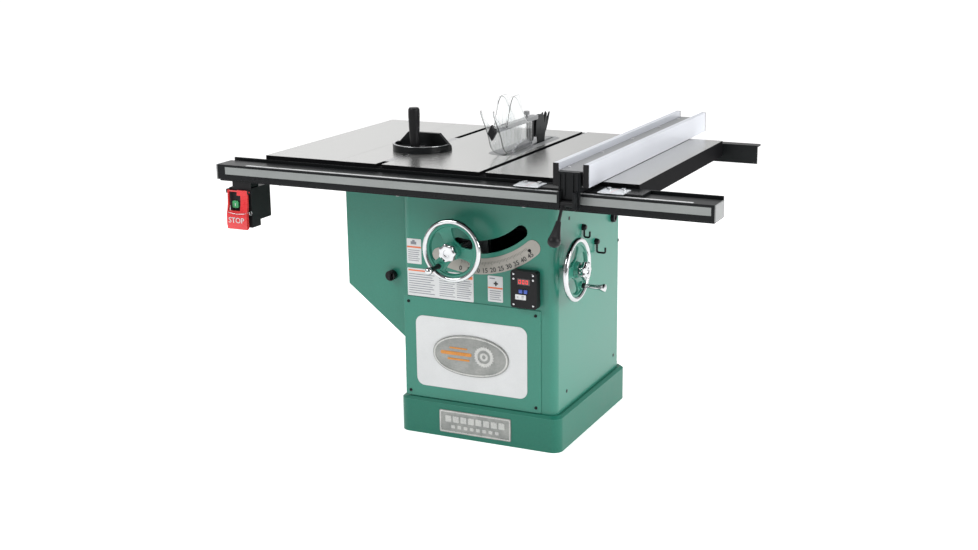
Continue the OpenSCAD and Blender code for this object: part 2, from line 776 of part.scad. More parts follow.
module shield_outline() {
    z0 = table_h + 1.5;
    polygon(concat(
        [[120, z0], [-20, z0]],
        curve([-30, z0], [-64, z0 + 4], [-88, 858], [-96, 876], 6),
        curve([-106, 900], [-128, 940], [-152, 962], [-160, 984], 6),
        [[-154, 988]],
        curve([-140, 966], [-118, 948], [-98, 936], [-84, 926], 5),
        curve([-66, 926], [-50, 960], [-40, 1012], [-8, 1015], 7),
        curve([24, 1015], [40, 980], [56, 950], [84, 926], 6),
        [[120, 921]]));
}
module left_shield() {
    color([0.85, 0.9, 0.9, 0.5]) slab_x(blade_x - 22, blade_x - 19.5) shield_outline();
}
module right_shield() {
    color([0.85, 0.9, 0.9, 0.5]) slab_x(blade_x + 19.5, blade_x + 22) shield_outline();
}
module kickback_pawls() {
    // Two toothed plates on one pin through the splitter's neck
    color([0.15, 0.15, 0.15]) {
        for (s = [-1, 1]) {
            x0 = blade_x + (s > 0 ? 4 : -9);
            slab_x(x0, x0 + 5) polygon([[176, 868], [196, 858], [222, 854], [244, 860], [260, 872],
                [274, 892], [290, 927], [275, 912], [262, 893], [266, 927], [254, 914], [246, 896],
                [244, 918], [234, 926], [206, 924], [182, 912]]);
            rod_x(min(blade_x + s * 1.6, blade_x + s * 9.5), max(blade_x + s * 1.6, blade_x + s * 9.5),
                216, 884, 7);
        }
    }
}

// ---- fence ----
module fence_beam() {
    in_x0 = fence_x0 + face_t;
    in_x1 = fence_x1 - face_t;
    color("gray") difference() {
        block(in_x0, in_x1, fence_y0 + 6, fence_y1 - 2, fence_z + 1, fence_z + 44);
        block(in_x0 + 3, in_x1 - 3, fence_y0 + 5, fence_y1, fence_z + 4, fence_z + 41);
    }
    color([0.1, 0.1, 0.1]) {
        // Caps on both ends of the faces, and a plate that closes the back of the beam
        for (x = [fence_x0, fence_x1 - face_t], y = [fence_y0, fence_y1 - end_cap])
            block(x, x + face_t, y, y + end_cap, fence_z, fence_z + fence_h);
        block(in_x0, in_x1, fence_y1 - 2, fence_y1, fence_z + 1, fence_z + 44);
    }
    // Glide that rides the rear rail
    color([0.1, 0.1, 0.1]) block(fence_mid - 14, fence_mid + 14, 470, 500, 829.6, fence_z + 1);
}
module fence_faces() {
    color("whitesmoke") for (x = [fence_x0, fence_x1 - face_t]) difference() {
        block(x, x + face_t, fence_y0 + end_cap, fence_y1 - end_cap, fence_z, fence_z + fence_h);
        block(x + 5, x + face_t - 5, fence_y0 - 1, fence_y1 + 1, fence_z + 51, fence_z + 59);
    }
}
module fence_head() {
    color([0.07, 0.07, 0.07]) {
        // T-bar over the tube, with its rear leg
        block(176, 556, -396, -330, rail_z1 + 1.4, rail_z1 + 7.4);
        block(176, 556, -336, -330, rail_z0 + 14, rail_z1 + 1.4);
        block(332, 392, -426, -332, rail_z1 + 7.4, fence_z + 0.8);
        // Front bracket with its two cheeks
        block(332, 392, -441, -429, 812, fence_z + 43);
        block(332, 392, -430, -421.5, fence_z + 2, fence_z + 43);
        for (x = [336, 382]) difference() {
            block(x, x + 6, -462, -430, 782, 830);
            rod_x(x - 1, x + 7, lever_y, lever_z, 5.05);
        }
        block(332, 392, -441, -429, 782, 812);
    }
    color("silver") for (x = [350, 362, 374]) rod_y(x, -443, -441, 786.2, 3.8);
}
module fence_lever() {
    color([0.07, 0.07, 0.07]) {
        rod_x(335, 389, lever_y, lever_z, 5);
        rod_x(342.5, 381.5, lever_y, lever_z, 8.5);
        translate([349, lever_y, lever_z]) rotate([140, 0, 0]) rotate([0, 3, 0]) {
            cylinder(h = 68, r = 4.5);
            rotate_extrude() polygon(concat([[0, 56], [7, 56]],
                curve([7.5, 58], [9, 72], [12, 90], [16, 105], 5),
                curve([17.5, 110], [20, 121], [15, 131], [0, 132], 6)));
        }
    }
}
module fence_pointers() {
    color([0.8, 0.86, 0.9, 0.6]) for (x = [186, 434])
        block(x, x + 74, -413, -352, rail_z1 + 7.4, rail_z1 + 10.4);
    color("silver") for (x = [186, 434], dx = [16, 58])
        rod_z(x + dx, -366, rail_z1 + 10.4, rail_z1 + 15, 6.5);
}

// ---- mitre gauge ----
module mitre_bar() {
    color("silver") {
        difference() {
            block(mitre_x - 9.4, mitre_x + 9.4, -270, 190, table_h - slot_depth + 0.3, table_h);
            rod_z(mitre_x, handle_y, table_h - 20, table_h + 1, 4);
        }
        rod_z(mitre_x, mitre_y, table_h, table_h + 11, 8);
    }
}
module mitre_head() {
    z0 = table_h + 0.6;
    color([0.08, 0.08, 0.08]) translate([mitre_x, mitre_y, 0]) {
        translate([0, 0, z0]) linear_extrude(10) difference() {
            intersection() {
                circle(mitre_r, $fn = 96);
                translate([-mitre_r, -mitre_r]) square([2 * mitre_r, mitre_r + 10]);
            }
            circle(8.05);
            translate([0, 0]) arc_sector(44, 56, -55, 55);
        }
        translate([0, 0, z0]) linear_extrude(20) intersection() {
            difference() {
                circle(mitre_r, $fn = 96);
                circle(mitre_r - 7, $fn = 96);
            }
            translate([-mitre_r, -mitre_r]) square([2 * mitre_r, mitre_r + 10]);
        }
        slab_y(8, 22) polygon([[-mitre_r, z0], [mitre_r, z0], [mitre_r - 2, z0 + 14], [54, z0 + 51],
            [-54, z0 + 51], [-mitre_r + 2, z0 + 14]]);
    }
}
module mitre_handle() {
    z0 = table_h + 11.2;
    color([0.06, 0.06, 0.06]) translate([mitre_x, handle_y, 0]) {
        translate([0, 0, table_h - 7]) cylinder(h = 20, r = 3.95);
        translate([0, 0, z0]) cylinder(h = 3, r = 11);
        translate([0, 0, z0 + 3]) rotate_extrude($fn = 48) polygon([[0, 0], [13, 0], [14, 20],
            [16.5, 60], [18, 100], [17.5, 117], [14.5, 123], [0, 123]]);
    }
}

// ---- switch ----
module switch_box() {
    y = sw_y;
    color([0.08, 0.08, 0.08]) {
        difference() {
            union() {
                block(sw_x0 + 4, sw_x1, y, y + 44, 628, sw_top);
                block(sw_x0 + 12, sw_x1 - 2, y + 44, y + 104, 646, sw_top);
            }
            rod_y(-746, y - 1, y + 12, 697, 13);
        }
        // Hanging bracket under the tube
        block(sw_x0 + 18, sw_x1 + 2, y - 2, y, 736, rail_z0 - 6.2);
        block(sw_x0 + 18, sw_x1 + 2, y - 2, y + 60, rail_z0 - 9.2, rail_z0 - 6.2);
        block(sw_x0 + 22, sw_x0 + 30, y + 6, y + 50, sw_top, rail_z0 - 9.2);
        block(sw_x1 - 14, sw_x1 - 6, y + 6, y + 50, sw_top, rail_z0 - 9.2);
        // Paddle hinge ears
        for (x = [sw_x0 + 1, sw_x1 - 5]) difference() {
            block(x, x + 4, y - 13, y, 733, 745);
            rod_x(x - 1, x + 5, y - 8, 739, 2.55);
        }
    }
}
module start_button() {
    color("green") {
        rod_y(-746, sw_y - 4, sw_y + 6, 697, 12.6);
    }
}
module stop_paddle() {
    x0 = sw_x0 + 5.5;
    x1 = sw_x1 - 5.5;
    color("crimson") {
        rod_x(sw_x0 + 1, sw_x1 - 1, sw_y - 8, 739, 2.5);
        difference() {
            slab_x(x0, x1) polygon([[sw_y - 12, 743], [sw_y - 6, 743], [sw_y - 6, 700],
                [sw_y - 10, 676], [sw_y - 10, 627], [sw_y - 20, 624], [sw_y - 23, 640], [sw_y - 22, 668],
                [sw_y - 14, 700]]);
            block(-763, -720, sw_y - 40, sw_y, 680, 727);
            block(-763, -733, sw_y - 40, sw_y, 727, 750);
        }
    }
}

base_plinth();
front_panel();
cabinet_shell();
access_cover();
panel_screws();
label_plates();
bevel_scale();
readout_housing();
readout_display();
readout_button_left();
readout_button_right();
storage_hooks();
dust_port();
motor_cover();
motor_cover_knob();
motor_cover_hinge();
main_table();
left_wing();
right_wing();
table_insert();
table_bolts();
front_rail_angle();
front_rail_tube();
rail_strips();
rail_end_caps();
rear_rail();
trunnion_brackets();
tilt_cradle();
tilt_worm_shaft();
tilt_handwheel();
tilt_crank();
tilt_lock_knob();
height_worm_shaft();
height_handwheel();
height_crank();
height_lock_knob();
raising_arm();
arm_pivot_shaft();
arbor_shaft();
arbor_flanges();
saw_blade();
motor();
motor_pulley();
drive_belts();
splitter();
guard_arm();
left_shield();
right_shield();
kickback_pawls();
fence_beam();
fence_faces();
fence_head();
fence_lever();
fence_pointers();
mitre_bar();
mitre_head();
mitre_handle();
switch_box();
start_button();
stop_paddle();
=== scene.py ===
"""Looks of the cabinet table saw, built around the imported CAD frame. Metres, the frame's own axes."""
import json
from math import atan2, cos, degrees, hypot, pi, radians, sin

import bmesh
import bpy
from mathutils import Matrix, Vector


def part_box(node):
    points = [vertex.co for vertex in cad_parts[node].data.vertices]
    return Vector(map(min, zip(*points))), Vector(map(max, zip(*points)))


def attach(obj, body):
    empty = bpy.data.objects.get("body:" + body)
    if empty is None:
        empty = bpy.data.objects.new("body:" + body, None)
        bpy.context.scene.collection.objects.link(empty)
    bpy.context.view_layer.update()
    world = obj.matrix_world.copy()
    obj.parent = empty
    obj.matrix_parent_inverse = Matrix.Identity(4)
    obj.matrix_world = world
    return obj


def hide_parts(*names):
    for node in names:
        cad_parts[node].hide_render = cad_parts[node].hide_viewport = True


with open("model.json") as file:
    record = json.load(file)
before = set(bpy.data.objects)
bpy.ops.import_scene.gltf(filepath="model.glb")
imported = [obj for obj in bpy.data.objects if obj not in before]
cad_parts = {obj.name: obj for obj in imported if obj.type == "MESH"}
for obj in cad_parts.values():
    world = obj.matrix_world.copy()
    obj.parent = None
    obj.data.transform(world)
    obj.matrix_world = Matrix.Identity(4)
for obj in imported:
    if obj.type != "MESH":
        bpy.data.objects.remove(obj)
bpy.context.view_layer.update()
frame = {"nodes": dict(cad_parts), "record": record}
NODES = frame["nodes"]
JOINTS = {j["name"]: j for j in frame["record"]["behaviour"]["joints"]}
MM = 0.001

# ---------------------------------------------------------------- materials


def node(tree, kind, inputs=(), **props):
    """Adds a shader node; inputs are (socket, value or output socket) pairs."""
    made = tree.nodes.new(kind)
    for key, value in props.items():
        setattr(made, key, value)
    for key, value in inputs:
        if isinstance(value, bpy.types.NodeSocket):
            tree.links.new(value, made.inputs[key])
        else:
            made.inputs[key].default_value = value
    return made


def rgba(c):
    return (*c, 1.0)


def surface(name, dark, light, metallic=0.0, rough=(0.4, 0.5), blotch=6.0, grain=400.0, bump=0.1,
            depth=0.0002, stretch=(1, 1, 1), coat=0.0, coat_rough=0.05, edge=None, anisotropic=0.0,
            transmission=0.0, ior=1.5, specular=0.5, emission=0.0, alpha=1.0, contrast=0.6):
    """A finish with colour that drifts between two tones, uneven gloss and a fine grain."""
    material = bpy.data.materials.new(name)
    material.use_nodes = True
    tree = material.node_tree
    shader = tree.nodes["Principled BSDF"]
    where = node(tree, "ShaderNodeTexCoord").outputs["Object"]
    drift = node(tree, "ShaderNodeTexNoise", [("Vector", where), ("Scale", blotch), ("Detail", 4.0),
                                              ("Roughness", 0.55)])
    along = node(tree, "ShaderNodeMapping", [("Vector", where), ("Scale", stretch)])
    fine = node(tree, "ShaderNodeTexNoise", [("Vector", along.outputs[0]), ("Scale", grain),
                                             ("Detail", 3.0), ("Roughness", 0.6)])
    both = node(tree, "ShaderNodeMath", [(0, drift.outputs["Fac"]), (1, fine.outputs["Fac"])],
                operation="ADD")
    tone = node(tree, "ShaderNodeMapRange", [("Value", both.outputs[0]), ("From Min", 1 - contrast / 2),
                                             ("From Max", 1 + contrast / 2)])
    colour = node(tree, "ShaderNodeMix", [("Factor", tone.outputs[0]), ("A", rgba(dark)),
                                          ("B", rgba(light))], data_type="RGBA")
    base = colour.outputs["Result"]
    if edge:
        # Rounded-over edges are painted lighter: partly paint worn thin, partly a painted highlight
        geometry = node(tree, "ShaderNodeNewGeometry")
        rounded = node(tree, "ShaderNodeBevel", [("Radius", 0.0016)], samples=4)
        same = node(tree, "ShaderNodeVectorMath", [(0, rounded.outputs[0]), (1, geometry.outputs["Normal"])],
                    operation="DOT_PRODUCT")
        wear_and_highlight = node(tree, "ShaderNodeMapRange", [("Value", same.outputs["Value"]), ("From Min", 0.995),
                                                 ("From Max", 0.9), ("To Max", 0.7)])
        base = node(tree, "ShaderNodeMix", [("Factor", wear_and_highlight.outputs[0]), ("A", base), ("B", rgba(edge))],
                    data_type="RGBA").outputs["Result"]
    tree.links.new(base, shader.inputs["Base Color"])
    gloss = node(tree, "ShaderNodeMapRange", [("Value", both.outputs[0]), ("From Min", 0.6),
                                              ("From Max", 1.4), ("To Min", rough[0]), ("To Max", rough[1])])
    tree.links.new(gloss.outputs[0], shader.inputs["Roughness"])
    relief = node(tree, "ShaderNodeBump", [("Height", fine.outputs["Fac"]), ("Strength", bump),
                                           ("Distance", depth)])
    tree.links.new(relief.outputs[0], shader.inputs["Normal"])
    for key, value in (("Metallic", metallic), ("Coat Weight", coat), ("Coat Roughness", coat_rough),
                       ("Anisotropic", anisotropic), ("Transmission Weight", transmission), ("IOR", ior),
                       ("Specular IOR Level", specular), ("Alpha", alpha)):
        shader.inputs[key].default_value = value
    if emission:
        tree.links.new(base, shader.inputs["Emission Color"])
        shader.inputs["Emission Strength"].default_value = emission
    return material


# Each edge tone below paints rounded edges lighter: partly worn paint, partly a painted highlight
GREEN = surface("green_paint", (0.018, 0.172, 0.121), (0.024, 0.201, 0.143), rough=(0.32, 0.42), blotch=3,
                grain=260, bump=0.1, depth=0.0003, coat=0.2, coat_rough=0.18, specular=0.4,
                edge=(0.11, 0.4, 0.3))
PLINTH = surface("plinth_paint", (0.006, 0.125, 0.084), (0.01, 0.148, 0.1), rough=(0.36, 0.48), blotch=4,
                 grain=200, bump=0.16, depth=0.0004, coat=0.1, coat_rough=0.25, specular=0.3,
                 edge=(0.08, 0.33, 0.25))
BLACK = surface("black_paint", (0.006, 0.007, 0.0075), (0.011, 0.012, 0.013), rough=(0.24, 0.34), blotch=5,
                grain=320, bump=0.08, specular=0.12, edge=(0.02, 0.021, 0.023))
GREY = surface("grey_paint", (0.2, 0.205, 0.21), (0.26, 0.265, 0.27), rough=(0.35, 0.45), blotch=8, grain=300,
               bump=0.08, edge=(0.6, 0.6, 0.6))
PALE = surface("pale_plastic", (0.2, 0.205, 0.205), (0.26, 0.265, 0.265), rough=(0.35, 0.45), blotch=8,
               grain=300, bump=0.06)
IRON = surface("ground_cast_iron", (0.56, 0.56, 0.55), (0.62, 0.62, 0.61), metallic=0.92, rough=(0.22, 0.28),
               blotch=4, grain=110, stretch=(1, 22, 22), bump=0.06, depth=0.00004, contrast=1.1)
SKIRT = surface("painted_casting", (0.004, 0.004, 0.0045), (0.008, 0.008, 0.009), rough=(0.55, 0.7),
                blotch=12, grain=180, bump=0.3, depth=0.0004, specular=0.03, edge=(0.015, 0.015, 0.016))
CASTING = surface("machinery_iron", (0.07, 0.075, 0.08), (0.15, 0.155, 0.16), metallic=0.5,
                  rough=(0.45, 0.65), blotch=15, grain=150, bump=0.4, depth=0.0006, edge=(0.4, 0.4, 0.4))
STEEL = surface("turned_steel", (0.42, 0.42, 0.43), (0.6, 0.6, 0.61), metallic=1, rough=(0.22, 0.38),
                blotch=20, grain=500, stretch=(1, 1, 1), bump=0.1, depth=0.0001)
BLADE = surface("blade_steel", (0.5, 0.5, 0.52), (0.7, 0.7, 0.72), metallic=1, rough=(0.18, 0.3),
                blotch=12, grain=700, bump=0.1, depth=0.00008, anisotropic=0.4)
CHROME = surface("chrome", (0.5, 0.51, 0.52), (0.58, 0.59, 0.6), metallic=1, rough=(0.04, 0.09), blotch=18,
                 grain=600, bump=0.02, depth=0.00005)
FACE = surface("fence_face", (0.6, 0.62, 0.67), (0.67, 0.69, 0.74), metallic=0.35, rough=(0.3, 0.42),
               blotch=4, grain=160, stretch=(25, 1, 25), bump=0.1, depth=0.0001)
STRIP = surface("grey_strip", (0.2, 0.215, 0.21), (0.27, 0.285, 0.28), metallic=0.2, rough=(0.3, 0.4),
                blotch=5, grain=200, stretch=(1, 30, 30), bump=0.06)
WHITE = surface("label_white", (0.55, 0.56, 0.565), (0.62, 0.63, 0.635), rough=(0.32, 0.42), blotch=10,
                grain=500, bump=0.03)
SCALE = surface("scale_plate", (0.28, 0.268, 0.24), (0.35, 0.336, 0.305), metallic=0.3, rough=(0.35, 0.45),
                blotch=9, grain=300, stretch=(1, 1, 12), bump=0.06)
PLASTIC = surface("black_plastic", (0.008, 0.008, 0.009), (0.015, 0.015, 0.016), rough=(0.28, 0.42),
                  blotch=10, grain=900, bump=0.2, depth=0.0002, specular=0.14, edge=(0.03, 0.03, 0.03))
CLEAR = surface("clear_plastic", (0.93, 0.95, 0.95), (0.98, 0.99, 0.99), rough=(0.03, 0.08), blotch=10,
                grain=120, bump=0.02, transmission=1.0, ior=1.46)
POINTER = surface("pointer_plastic", (0.72, 0.75, 0.78), (0.82, 0.85, 0.88), rough=(0.1, 0.2), blotch=14,
                  grain=400, bump=0.04, transmission=0.35, ior=1.46)
RED = surface("red_plastic", (0.55, 0.012, 0.016), (0.68, 0.02, 0.026), rough=(0.22, 0.32), blotch=12,
              grain=600, bump=0.08, coat=0.3, coat_rough=0.1, edge=(0.85, 0.15, 0.12))
GREEN_CAP = surface("green_button", (0.01, 0.27, 0.07), (0.02, 0.36, 0.11), rough=(0.2, 0.3), blotch=30,
                    grain=600, bump=0.05, coat=0.3)
BLUE_CAP = surface("blue_button", (0.03, 0.07, 0.32), (0.05, 0.1, 0.42), rough=(0.3, 0.4), blotch=40,
                   grain=800, bump=0.06)
SCREEN = surface("display_red", (0.03, 0.004, 0.005), (0.045, 0.006, 0.008), rough=(0.08, 0.14), blotch=30,
                 grain=500, bump=0.02, coat=0.8)
LIT = surface("display_digits", (0.75, 0.02, 0.02), (0.9, 0.03, 0.03), rough=(0.3, 0.4), grain=900,
              bump=0.02, emission=0.8)
RUBBER = surface("belt_rubber", (0.012, 0.012, 0.012), (0.022, 0.022, 0.022), rough=(0.7, 0.85),
                 blotch=30, grain=500, bump=0.3)
BADGE = surface("brushed_badge", (0.17, 0.18, 0.175), (0.33, 0.335, 0.32), metallic=0.75, rough=(0.32, 0.5),
                blotch=25, grain=160, stretch=(1, 8, 14), bump=0.3, depth=0.0002)
BADGE_EDGE = surface("badge_relief", (0.33, 0.335, 0.33), (0.5, 0.5, 0.48), metallic=0.9,
                     rough=(0.22, 0.35), blotch=25, grain=400, bump=0.1)
BRONZE = surface("badge_bronze", (0.42, 0.16, 0.03), (0.6, 0.26, 0.06), metallic=0.4, rough=(0.3, 0.45),
                 blotch=20, grain=300, bump=0.1)
ORANGE = surface("label_orange", (0.62, 0.13, 0.04), (0.72, 0.17, 0.06), rough=(0.4, 0.5), blotch=30,
                 grain=600, bump=0.03)
INK = surface("label_ink", (0.14, 0.15, 0.17), (0.26, 0.27, 0.3), rough=(0.45, 0.55), blotch=60,
              grain=900, bump=0.02, contrast=1.2)
BLACK_INK = surface("dial_ink", (0.01, 0.01, 0.01), (0.03, 0.03, 0.03), rough=(0.4, 0.5), blotch=40,
                    grain=800, bump=0.02)
FLOOR = surface("studio_floor", (0.93, 0.93, 0.93), (0.95, 0.95, 0.95), rough=(0.75, 0.85), blotch=1,
                grain=60, bump=0.02, emission=0.6)

SLOT_LOOK = {"green_paint": GREEN, "black_paint": BLACK, "grey_paint": GREY, "ground_cast_iron": IRON,
             "machinery_iron": CASTING, "steel": STEEL, "chrome": CHROME, "fence_face": FACE,
             "grey_strip": STRIP, "label_white": WHITE, "scale_plate": SCALE, "black_plastic": PLASTIC,
             "clear_plastic": CLEAR, "red_plastic": RED, "green_button": GREEN_CAP,
             "blue_button": BLUE_CAP, "display_red": SCREEN, "belt_rubber": RUBBER}

# ---------------------------------------------------------------- CAD nodes
SHARP = {"saw_blade": 0.0, "bevel_scale": 0.0002, "label_plates": 0.0003, "panel_screws": 0.0006,
         "rail_strips": 0.00015, "fence_faces": 0.0008, "fence_pointers": 0.0005, "left_shield": 0.0005,
         "right_shield": 0.0005, "readout_display": 0.0002, "table_insert": 0.0003,
         "main_table": 0.0005, "left_wing": 0.0005, "right_wing": 0.0005, "front_panel": 0.0005,
         "cabinet_shell": 0.0005, "stop_paddle": 0.002, "switch_box": 0.002, "readout_housing": 0.0025,
         "fence_head": 0.001, "storage_hooks": 0.0015, "mitre_head": 0.0012}


def soften(o, width):
    """Rounds the hard edges of a shown CAD solid a little, so that they catch the light."""
    bpy.context.view_layer.objects.active = o
    if o.data.has_custom_normals:
        bpy.ops.mesh.customdata_custom_splitnormals_clear()
    for p in o.data.polygons:
        p.use_smooth = True
    weld = o.modifiers.new("weld", "WELD")
    weld.merge_threshold = 1e-6
    if width:
        flat = o.modifiers.new("flat", "DECIMATE")
        flat.decimate_type = "DISSOLVE"
        flat.angle_limit = radians(0.4)
        flat.delimit = {"MATERIAL"}
        bevel = o.modifiers.new("bevel", "BEVEL")
        bevel.width = width
        bevel.segments = 2
        bevel.limit_method = "ANGLE"
        bevel.angle_limit = radians(32)
    normals = o.modifiers.new("normals", "WEIGHTED_NORMAL")
    normals.keep_sharp = True


def finish_of(name):
    return next(s["material_slot"] for s in frame["record"]["subparts"] if s["node"] == name)


for name, o in NODES.items():
    slot = finish_of(name)
    o.data.materials.clear()
    o.data.materials.append(SLOT_LOOK[slot])
    soften(o, SHARP.get(name, 0.0008))

# Only the tops of the castings are ground: their sides are painted
for name in ("main_table", "left_wing", "right_wing"):
    o = NODES[name]
    o.data.materials.append(SKIRT)
    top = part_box(name)[1].z
    for p in o.data.polygons:
        p.material_index = 0 if p.normal.z > 0.9 and p.center.z > top - 0.0001 else 1
# The white scale lies on the tube, the grey strip on its front
strips = NODES["rail_strips"]
strips.data.materials.append(WHITE)
tube_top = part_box("front_rail_tube")[1].z
for p in strips.data.polygons:
    p.material_index = 1 if p.center.z > tube_top - 0.0001 else 0
NODES["rail_end_caps"].data.materials[0] = PALE
NODES["base_plinth"].data.materials[0] = PLINTH
pointers = NODES["fence_pointers"].data
pointers.materials[0] = POINTER
pointers.materials.append(CHROME)
plate_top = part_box("fence_pointers")[0].z + 0.0031
for polygon in pointers.polygons:
    polygon.material_index = int(polygon.center.z > plate_top)
NODES["saw_blade"].data.materials[0] = BLADE
# Badge and plinth plate are metal, the labels white
plates = NODES["label_plates"]
plates.data.materials.append(BADGE)
badge_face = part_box("access_cover")[0].y - 0.00125
plinth_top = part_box("base_plinth")[1].z
for p in plates.data.polygons:
    if p.center.y < badge_face - 0.0001 and p.center.z > plinth_top or p.center.z < plinth_top:
        p.material_index = 1
# The fence's glide and the guard's nose are black plastic
faces_lo, faces_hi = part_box("fence_faces")
for name, test in (("fence_beam", lambda c: c.z < faces_lo.z + 0.0008 or not faces_lo.y < c.y < faces_hi.y),
                   ("guard_arm", lambda c: c.y < -0.1175 or c.z < 0.9165)):
    o = NODES[name]
    o.data.materials.append(PLASTIC)
    for p in o.data.polygons:
        if test(p.center):
            p.material_index = 1

# ---------------------------------------------------------------- builders
FRONT = Matrix(((1, 0, 0, 0), (0, 0, -1, 0), (0, 1, 0, 0), (0, 0, 0, 1)))
SIDE = Matrix(((0, 0, 1, 0), (1, 0, 0, 0), (0, 1, 0, 0), (0, 0, 0, 1)))
UP = Matrix.Identity(4)


def at(x, y, z, turn=UP):
    return Matrix.Translation((x, y, z)) @ turn


def add(name, mesh, looks, body, place=UP, smooth=True, angle=35):
    """Puts a mesh in the scene, in place, riding on its CAD body."""
    o = bpy.data.objects.new(name, mesh)
    bpy.context.scene.collection.objects.link(o)
    mesh.transform(place)
    if place.to_3x3().determinant() < 0:
        mesh.flip_normals()
    for look in looks if isinstance(looks, (list, tuple)) else [looks]:
        mesh.materials.append(look)
    if smooth:
        mesh.shade_smooth()
        mesh.set_sharp_from_angle(angle=radians(angle))
    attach(o, body)
    return o


def from_bmesh(name, bm):
    bmesh.ops.recalc_face_normals(bm, faces=bm.faces)
    mesh = bpy.data.meshes.new(name)
    bm.to_mesh(mesh)
    bm.free()
    return mesh


def lathe(name, profile, steps=48):
    """Solid of revolution about local Z from (radius, height) points."""
    bm = bmesh.new()
    rings = []
    for r, h in profile:
        if r < 1e-7:
            rings.append([bm.verts.new((0, 0, h))])
        else:
            rings.append([bm.verts.new((r * cos(2 * pi * i / steps), r * sin(2 * pi * i / steps), h))
                          for i in range(steps)])
    for a, b in zip(rings, rings[1:]):
        for i in range(steps):
            j = (i + 1) % steps
            if len(a) == 1:
                bm.faces.new((a[0], b[i], b[j]))
            elif len(b) == 1:
                bm.faces.new((a[i], b[0], a[j]))
            else:
                bm.faces.new((a[i], b[i], b[j], a[j]))
    return from_bmesh(name, bm)


def plate(name, outlines, thickness, edge=0.0, steps=2):
    """A flat plate from closed 2D outlines (holes included), its back at local z = 0, with rolled edges."""
    curve = bpy.data.curves.new(name, "CURVE")
    curve.dimensions = "2D"
    curve.fill_mode = "BOTH"
    curve.extrude = thickness / 2 - edge
    curve.bevel_depth = edge
    curve.bevel_resolution = steps
    curve.offset = -edge
    for outline in outlines:
        spline = curve.splines.new("POLY")
        spline.points.add(len(outline) - 1)
        for point, (x, y) in zip(spline.points, outline):
            point.co = (x, y, 0, 1)
        spline.use_cyclic_u = True
    holder = bpy.data.objects.new(name, curve)
    mesh = bpy.data.meshes.new_from_object(holder)
    bpy.data.objects.remove(holder)
    bpy.data.curves.remove(curve)
    mesh.transform(Matrix.Translation((0, 0, thickness / 2)))
    bm = bmesh.new()
    bm.from_mesh(mesh)
    bmesh.ops.remove_doubles(bm, verts=bm.verts, dist=1e-6)
    bpy.data.meshes.remove(mesh)
    return from_bmesh(name, bm)


def tube(name, points, radius, cyclic=False, steps=6):
    """A round rod bent through points."""
    curve = bpy.data.curves.new(name, "CURVE")
    curve.dimensions = "3D"
    curve.bevel_depth = radius
    curve.bevel_resolution = steps
    curve.use_fill_caps = True
    spline = curve.splines.new("POLY")
    spline.points.add(len(points) - 1)
    for point, co in zip(spline.points, points):
        point.co = (*co, 1)
    spline.use_cyclic_u = cyclic
    holder = bpy.data.objects.new(name, curve)
    mesh = bpy.data.meshes.new_from_object(holder)
    bpy.data.objects.remove(holder)
    bpy.data.curves.remove(curve)
    return mesh


def letters(name, text, size, thickness=0.0003, bold=0.0):
    """Generic lettering or a number, centred on the local origin."""
    curve = bpy.data.curves.new(name, "FONT")
    curve.body = text
    curve.size = size
    curve.extrude = thickness / 2
    curve.offset = bold
    curve.align_x = "CENTER"
    curve.align_y = "CENTER"
    curve.resolution_u = 3
    holder = bpy.data.objects.new(name, curve)
    mesh = bpy.data.meshes.new_from_object(holder)
    bpy.data.objects.remove(holder)
    bpy.data.curves.remove(curve)
    mesh.transform(Matrix.Translation((0, 0, thickness / 2)))
    return mesh


def bars(name, rects, thickness):
    """Raised rectangles (x0, x1, y0, y1, look index) with their backs at local z = 0."""
    bm = bmesh.new()
    for x0, x1, y0, y1, look in rects:
        made = bmesh.ops.create_cube(bm, size=1.0)
        bmesh.ops.scale(bm, vec=(x1 - x0, y1 - y0, thickness), verts=made["verts"])
        bmesh.ops.translate(bm, vec=((x0 + x1) / 2, (y0 + y1) / 2, thickness / 2), verts=made["verts"])
        for f in {f for v in made["verts"] for f in v.link_faces}:
            f.material_index = look
    return from_bmesh(name, bm)


def merge(name, parts):
    """One mesh from several (mesh, place) pairs."""
    bm = bmesh.new()
    for mesh, place in parts:
        mesh.transform(place)
        bm.from_mesh(mesh)
        bpy.data.meshes.remove(mesh)
    mesh = bpy.data.meshes.new(name)
    bm.to_mesh(mesh)
    bm.free()
    return mesh


def arc(cx, cy, r, a0, a1, n):
    """Points of an arc, angles in degrees, anticlockwise from +X."""
    return [(cx + r * cos(radians(a0 + (a1 - a0) * i / n)), cy + r * sin(radians(a0 + (a1 - a0) * i / n)))
            for i in range(n + 1)]


def rounded(w, h, r, n=5, cx=0.0, cy=0.0):
    out = []
    for sx, sy, a in ((1, 1, 0), (-1, 1, 90), (-1, -1, 180), (1, -1, 270)):
        out += arc(cx + sx * (w / 2 - r), cy + sy * (h / 2 - r), r, a, a + 90, n)
    return out


def box_of(name):
    lo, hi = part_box(name)
    return lo, hi, (lo + hi) / 2


# ---------------------------------------------------------------- handwheels
def wheel_opening(r_in, r_out, a, half_in, half_out):
    """One rounded opening between two spokes, centred on angle a."""
    pts = []
    for i in range(13):
        t = -1 + 2 * i / 12
        ang = radians(a + t * half_out)
        squeeze = 1 - 0.1 * abs(t) ** 4
        pts.append((r_out * squeeze * cos(ang), r_out * squeeze * sin(ang)))
    for i in range(9):
        t = 1 - 2 * i / 8
        ang = radians(a + t * half_in)
        swell = 1 + 0.16 * abs(t) ** 3
        pts.append((r_in * swell * cos(ang), r_in * swell * sin(ang)))
    return pts


def smooth_loop(pts, rounds=3):
    """Chaikin corner cutting on a closed outline."""
    for _ in range(rounds):
        pts = [((a[0] * (1 - t) + b[0] * t), (a[1] * (1 - t) + b[1] * t))
               for a, b in zip(pts, pts[1:] + pts[:1]) for t in (0.25, 0.75)]
    return pts


